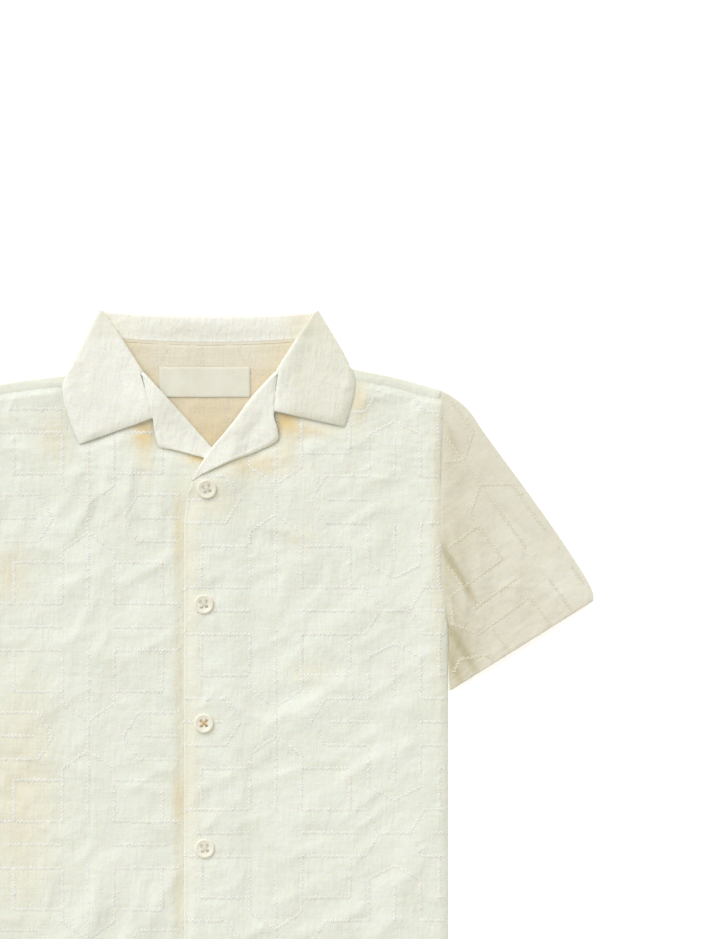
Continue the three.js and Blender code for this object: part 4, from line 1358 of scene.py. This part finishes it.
def collar_back(share):
    flip = np.array([-1, 1])
    left, right = HALVES["left"], HALVES["right"]
    lift = BACK_ROLL_LIFT * float(sag(share)) ** 2

    def sagging(a, b, amount):
        return lerp(a, b * flip, share) - np.array([0, amount * float(sag(share))])

    roll = sagging(left["apex"], right["apex"], ROLL_SAG)
    edge = sagging(left["outer"], right["outer"], EDGE_SAG)
    seam = sagging(collar_seam("left", 1), collar_seam("right", 1), NECK_SEAM_SAG)
    leaf = lerp(roll, edge, LEAF_SHARES[:, None])
    leaf = np.column_stack([leaf, np.full(len(leaf), BACK_Z)])
    stand = lerp(roll, seam, STAND_SHARES[:, None])
    crinkle = 0.5 * crumple(stand[:, 0], stand[:, 1], 6, 151) * np.sin(np.pi * np.minimum(1, STAND_SHARES))
    over_seam = 0.12 * smooth((STAND_SHARES - 0.8) / 0.2)
    stand_z = BACK_Z + LAYER + lift * (1 - smooth(STAND_SHARES)) + crinkle + over_seam
    return roll_over(np.column_stack([stand, stand_z]), leaf, FOLD_RADIUS + 0.85 * lift, np.array([0, 1, 0]))


def collar_painted_shade(x, y):
    """Painted shade on the collar: the inside of the stand is a little darker beside the leaves, and the leaf
    at +X is darker all over, as the side away from the light.
    """
    stand = smooth((y - 174) / 3) * np.exp(-(((np.abs(x) - 58) / 9) ** 2))
    return 0.25 * stand + 0.26 * smooth((x - 42) / 14)


def make_collar():
    def side(half):
        front = [collar_front(half, share) for share in np.linspace(0, 1, 44)]
        return front + [collar_turn(half, math.pi * k / 10) for k in range(1, 10)]

    left = side("left")
    back = [collar_back(share) for share in np.linspace(0, 1, 84)]
    right = [section * [-1, 1, 1] for section in side("right")][::-1]
    sections = left + back + right
    inner = np.arange(len(sections[0])) < len(STAND_SHARES) + len(ROLL_STEPS) // 2
    none = np.zeros(len(inner), bool)
    stand = np.concatenate([none] * len(left) + [inner] * len(back) + [none] * len(right))
    wall = shell(sections, COLLAR_WALL, thin=COLLAR_THINS)
    piece = make_cloth("collar_cloth", wall, collar_mat, collar_painted_shade, lit_stand_mat, stand)
    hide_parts("collar")


# Label
LABEL = {"width": 53, "height": 17.4, "x": -0.3, "y": 149.4, "wall": 0.5, "lift": 1.05}


def make_label():
    u, v = np.meshgrid(np.linspace(-0.5, 0.5, 54), np.linspace(-0.5, 0.5, 20))
    x, y = LABEL["x"] + u * LABEL["width"], LABEL["y"] + v * LABEL["height"]
    z = back_z(x, y) + LABEL["lift"] + 0.2 * value_noise(x, y, 9, 171)
    rows = list(np.stack([x, y, z], axis=2))
    piece = make_object("label_satin", *shell(rows, LABEL["wall"])[:2], satin_mat)
    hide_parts("label")


# Buttons
BUTTON = {"radius": 5.7, "height": 2.2, "hole": 0.8, "spacing": 1.5}
DISH = 0.6
STRAND_GAP, STRAND_RADIUS = 0.28, 0.19
BROWN_SEWN = 3
BUTTON_PLACES = [(1.2, 87.3, 0.3), (-0.6, 19.6, 0.12), (-0.6, -50, 0.05), (0, -123.1, 0.1)]


def button_mesh():
    """A turned disc with a round rim and a dish. Its four holes are cut afterwards, by cut_holes."""
    r, h = BUTTON["radius"], BUTTON["height"]
    wall = [(r - 0.8, 0), (r - 0.25, 0.15), (r, 0.6), (r, h - 0.75)]
    rim = [(r - 0.12, h - 0.35), (r - 0.4, h - 0.08), (r - 0.8, h), (r - 1.2, h - 0.08)]
    dish = [(r - 1.7, h - 0.28), (r - 2.4, h - 0.5), (r - 3.2, h - DISH)]
    profile = wall + rim + dish
    sides = 64
    angle = np.linspace(0, 2 * np.pi, sides, endpoint=False)
    rings = [np.column_stack([a * np.cos(angle), a * np.sin(angle), np.full(sides, z)]) for a, z in profile]
    vertices = np.vstack(rings + [[(0, 0, 0)], [(0, 0, h - DISH)]])
    bottom, top = len(vertices) - 2, len(vertices) - 1
    j = np.arange(sides)
    k = (j + 1) % sides
    faces = []
    for i in range(len(profile) - 1):
        a, b = i * sides, (i + 1) * sides
        faces += np.stack([a + j, a + k, b + k, b + j], axis=1).tolist()
    last = (len(profile) - 1) * sides
    faces += [(bottom, int(b), int(a)) for a, b in zip(j, k)]
    faces += [(top, int(last + a), int(last + b)) for a, b in zip(j, k)]
    return vertices, faces


def cut_holes(piece):
    cutters = []
    for x in (-1, 1):
        for y in (-1, 1):
            place = (x * BUTTON["spacing"] * MM, y * BUTTON["spacing"] * MM, 0)
            radius = BUTTON["hole"] * MM
            bpy.ops.mesh.primitive_cylinder_add(vertices=28, radius=radius, depth=0.02, location=place)
            cutters.append(bpy.context.object)
    for cutter in cutters:
        cut = piece.modifiers.new("hole", "BOOLEAN")
        cut.operation = "DIFFERENCE"
        cut.solver = "EXACT"
        cut.object = cutter
    bpy.context.view_layer.update()
    mesh = bpy.data.meshes.new_from_object(piece.evaluated_get(bpy.context.evaluated_depsgraph_get()))
    for cutter in cutters:
        bpy.data.objects.remove(cutter)
    return mesh


def tube(path, radius, sides=8):
    """A closed tube along a path, with flat ends."""
    path = points(path)
    way = np.gradient(path, axis=0)
    way /= np.linalg.norm(way, axis=1, keepdims=True)
    side = np.cross(way, [0, 0, 1.0])
    side /= np.maximum(np.linalg.norm(side, axis=1, keepdims=True), 1e-9)
    up = np.cross(side, way)
    angle = np.linspace(0, 2 * np.pi, sides, endpoint=False)
    ring = np.cos(angle)[None, :, None] * side[:, None] + np.sin(angle)[None, :, None] * up[:, None]
    vertices = (path[:, None] + radius * ring).reshape(-1, 3)
    vertices = np.vstack([vertices, path[:1], path[-1:]])
    faces = []
    for i in range(len(path) - 1):
        for j in range(sides):
            k = (j + 1) % sides
            faces.append((i * sides + j, i * sides + k, (i + 1) * sides + k, (i + 1) * sides + j))
    first, last = len(vertices) - 2, len(vertices) - 1
    base = (len(path) - 1) * sides
    faces += [(first, (j + 1) % sides, j) for j in range(sides)]
    faces += [(last, base + j, base + (j + 1) % sides) for j in range(sides)]
    return vertices, faces


def thread_cross():
    """Two diagonals of three strands each, which rise out of the holes and cross in the dish."""
    s, z = BUTTON["spacing"], BUTTON["height"] - DISH
    vertices, faces = [], []
    for lift, way in ((0.0, 1), (0.22, -1)):
        for strand in (-STRAND_GAP, 0, STRAND_GAP):
            t = np.linspace(-1, 1, 15)
            shape = 0.16 + lift * (1 - t**2) - 1.3 * np.maximum(0, np.abs(t) - 0.82) / 0.18
            shift = strand * (1 - 0.4 * t**2) * 0.707
            x, y = s * t + shift, s * t * way - shift * way
            v, f = tube(np.column_stack([x, y, z + shape]), STRAND_RADIUS)
            faces += [[i + len(vertices) for i in face] for face in f]
            vertices += v.tolist()
    for x, y in ((s, s), (s, -s), (-s, s), (-s, -s)):
        v, f = tube([(x, y, z - 1.2), (x + 0.01, y, z - 0.4), (x, y, z - 0.03)], BUTTON["hole"] * 0.9)
        faces += [[i + len(vertices) for i in face] for face in f]
        vertices += v.tolist()
    return vertices, faces


def place_on_front(piece, x, y, turn):
    """Lays a piece that was made round the origin on the left front, and keeps its place in its mesh."""
    reach = 5.0
    slope_x = float(front_z("left", x + reach, y) - front_z("left", x - reach, y)) / (2 * reach)
    slope_y = float(front_z("left", x, y + reach) - front_z("left", x, y - reach)) / (2 * reach)
    normal = np.array([-slope_x, -slope_y, 1])
    normal /= np.linalg.norm(normal)
    side = np.array([math.cos(turn), math.sin(turn), 0])
    side -= normal * (side @ normal)
    side /= np.linalg.norm(side)
    forward = np.cross(normal, side)
    matrix = np.eye(4)
    matrix[:3, 0], matrix[:3, 1], matrix[:3, 2] = side, forward, normal
    matrix[:3, 3] = (np.array([x, y, float(front_z("left", x, y))]) + normal * 1.0) * MM
    piece.data.transform(Matrix(matrix.tolist()))


def make_buttons():
    blank = make_object("button_blank", *button_mesh(), shell_mat)
    mesh = cut_holes(blank)
    bpy.data.objects.remove(blank)
    for number, (x, y, turn) in enumerate(BUTTON_PLACES, 1):
        piece = bpy.data.objects.new(f"button_{number}_shell", mesh.copy())
        bpy.context.scene.collection.objects.link(piece)
        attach(piece, "root")
        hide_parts(f"button_{number}")
        thread_mat = brown_mat if number == BROWN_SEWN else shell_thread_mat
        thread = make_object(f"button_{number}_thread", *thread_cross(), thread_mat)
        for one in (piece, thread):
            place_on_front(one, x, y, turn)


# Stitching
CLEAR_OF_EDGE = 1.6
CLEAR_OF_PLACKET = 14.8
RAY_START = 50  # well above the cloth
BACK_THREAD, BACK_LIFT = 0.6, -0.02  # finer and flatter, as the wrong side of the stitching is


def stitch_piece(name, places, ways, surface, sign, material=stitch_mat, thread=THREAD, lift=0.03):
    """Stitches on the upper face of a cloth. surface gives the height of its middle at x and y."""

    def height(x, y):
        return surface(x, y) + CLOTH / 2

    piece = make_object(name, *strokes(places, ways, height, sign, thread, lift), material)


def make_front_stitches(half, lines, surface, outline):
    places, ways = zigzag(lines)
    x, y = places[:, 0], places[:, 1]
    cover = leaf_outline(half)
    under = inside(cover, x, y) & (distance_to(cover, x, y) > 1.5)
    kept = inside(outline, x, y) & ~under & (x < side_x(FRONT_ARMHOLE, y) - CLEAR_OF_EDGE) & (y < 150)
    if half == "right":
        kept &= (x > CLEAR_OF_PLACKET) | (y > 118)
    stitch_piece(f"front_{half}_stitches", places[kept], ways[kept], surface, HALVES[half]["sign"])


def make_sleeve_stitches(side, sign, lines, outline, piece):
    """The strokes lie on the sleeve's own upper face, found by a ray from above."""
    places, ways = zigzag(lines)
    x, y = places[:, 0], places[:, 1]
    kept = inside(outline, x, y) & (x > side_x(FRONT_ARMHOLE, y) + 0.5)
    kept &= distance_to(outline, x, y) > CLEAR_OF_EDGE
    places, ways = places[kept], ways[kept]

    def height(x, y):
        found = []
        for a, b in zip(x, y):
            hit, point, _, _ = piece.ray_cast((a * sign * MM, b * MM, RAY_START * MM), (0, 0, -1))
            found.append(point[2] / MM if hit else np.nan)
        found = np.array(found)
        return np.where(np.isnan(found), BACK_Z + LAYER, found) - CLOTH / 2

    stitch_piece(f"sleeve_{side}_stitches", places, ways, height, sign, sleeve_stitch_mat)


NECK_OPENING = points([
    (4, 108), (45, 156), (68, 176), (50, 172.5), (0, 170.5), (-46, 172.5), (-62, 176), (-38, 156),
])


def make_back_stitches(lines):
    places, ways = zigzag(lines)
    x, y = places[:, 0], places[:, 1]
    beside_label = np.abs(x - LABEL["x"]) - LABEL["width"] / 2
    above_label = np.abs(y - LABEL["y"]) - LABEL["height"] / 2
    kept = inside(NECK_OPENING, x, y) & (np.maximum(beside_label, above_label) >= 1)

    def surface(a, b):
        return back_z(a, b) + back_relief(lines, a, b)

    places, ways = places[kept], ways[kept]
    stitch_piece("back_stitches", places, ways, surface, 1, back_stitch_mat, BACK_THREAD, BACK_LIFT)


make_back_stitches(make_back())
for half in ("right", "left"):
    make_front_stitches(half, *make_front(half))
for side, sign in (("right", -1), ("left", 1)):
    make_sleeve_stitches(side, sign, *make_sleeve(side, sign))
make_collar()
make_label()
make_buttons()


# Floor, light and camera
FLOOR_SIZE, FLOOR_Z = 8, -0.0002


def make_floor():
    bpy.ops.mesh.primitive_plane_add(size=FLOOR_SIZE, location=(0, 0, FLOOR_Z))
    floor = bpy.context.object
    floor.name = "floor"
    material, _, _ = new_material("white paper", {
        "Roughness": 0.9,
        "Base Color": (0.96, 0.96, 0.96, 1),
        "Emission Color": (1, 1, 1, 1),
        "Emission Strength": 0.4,
    })
    floor.data.materials.append(material)


def make_sun(name, height, bearing, strength, spread, colour):
    """Soft light from far off, at a height above the surface and a bearing from +X, in degrees."""
    data = bpy.data.lights.new(name, "SUN")
    data.energy = strength
    data.angle = math.radians(spread)
    data.color = colour
    lamp = bpy.data.objects.new(name, data)
    lamp.rotation_euler = (0, math.radians(90 - height), math.radians(bearing))
    bpy.context.scene.collection.objects.link(lamp)


def make_world(strength):
    world = bpy.data.worlds.new("soft white")
    bpy.context.scene.world = world
    world.use_nodes = True
    background = world.node_tree.nodes["Background"]
    background.inputs["Color"].default_value = (1, 0.965, 0.88, 1)
    background.inputs["Strength"].default_value = strength


def make_camera():
    """Straight down, over the photo's frame: 549.3 mm of the surface along the photo's long side."""
    lens, sensor, long_side = 100, 36, 0.5493
    middle_x, middle_y, cloth_height = 0.086, 0.0983, 0.004
    data = bpy.data.cameras.new("camera")
    data.lens = lens
    data.sensor_width = sensor
    camera = bpy.data.objects.new("camera", data)
    camera.location = (middle_x, middle_y, lens / sensor * long_side + cloth_height)
    bpy.context.scene.collection.objects.link(camera)
    bpy.context.scene.camera = camera


make_floor()
make_world(0.66)
make_sun("window", height=38, bearing=122, strength=1.75, spread=50, colour=(1.0, 1.045, 1.16))
make_camera()
bpy.context.scene.view_settings.view_transform = "Standard"

bpy.context.view_layer.update()
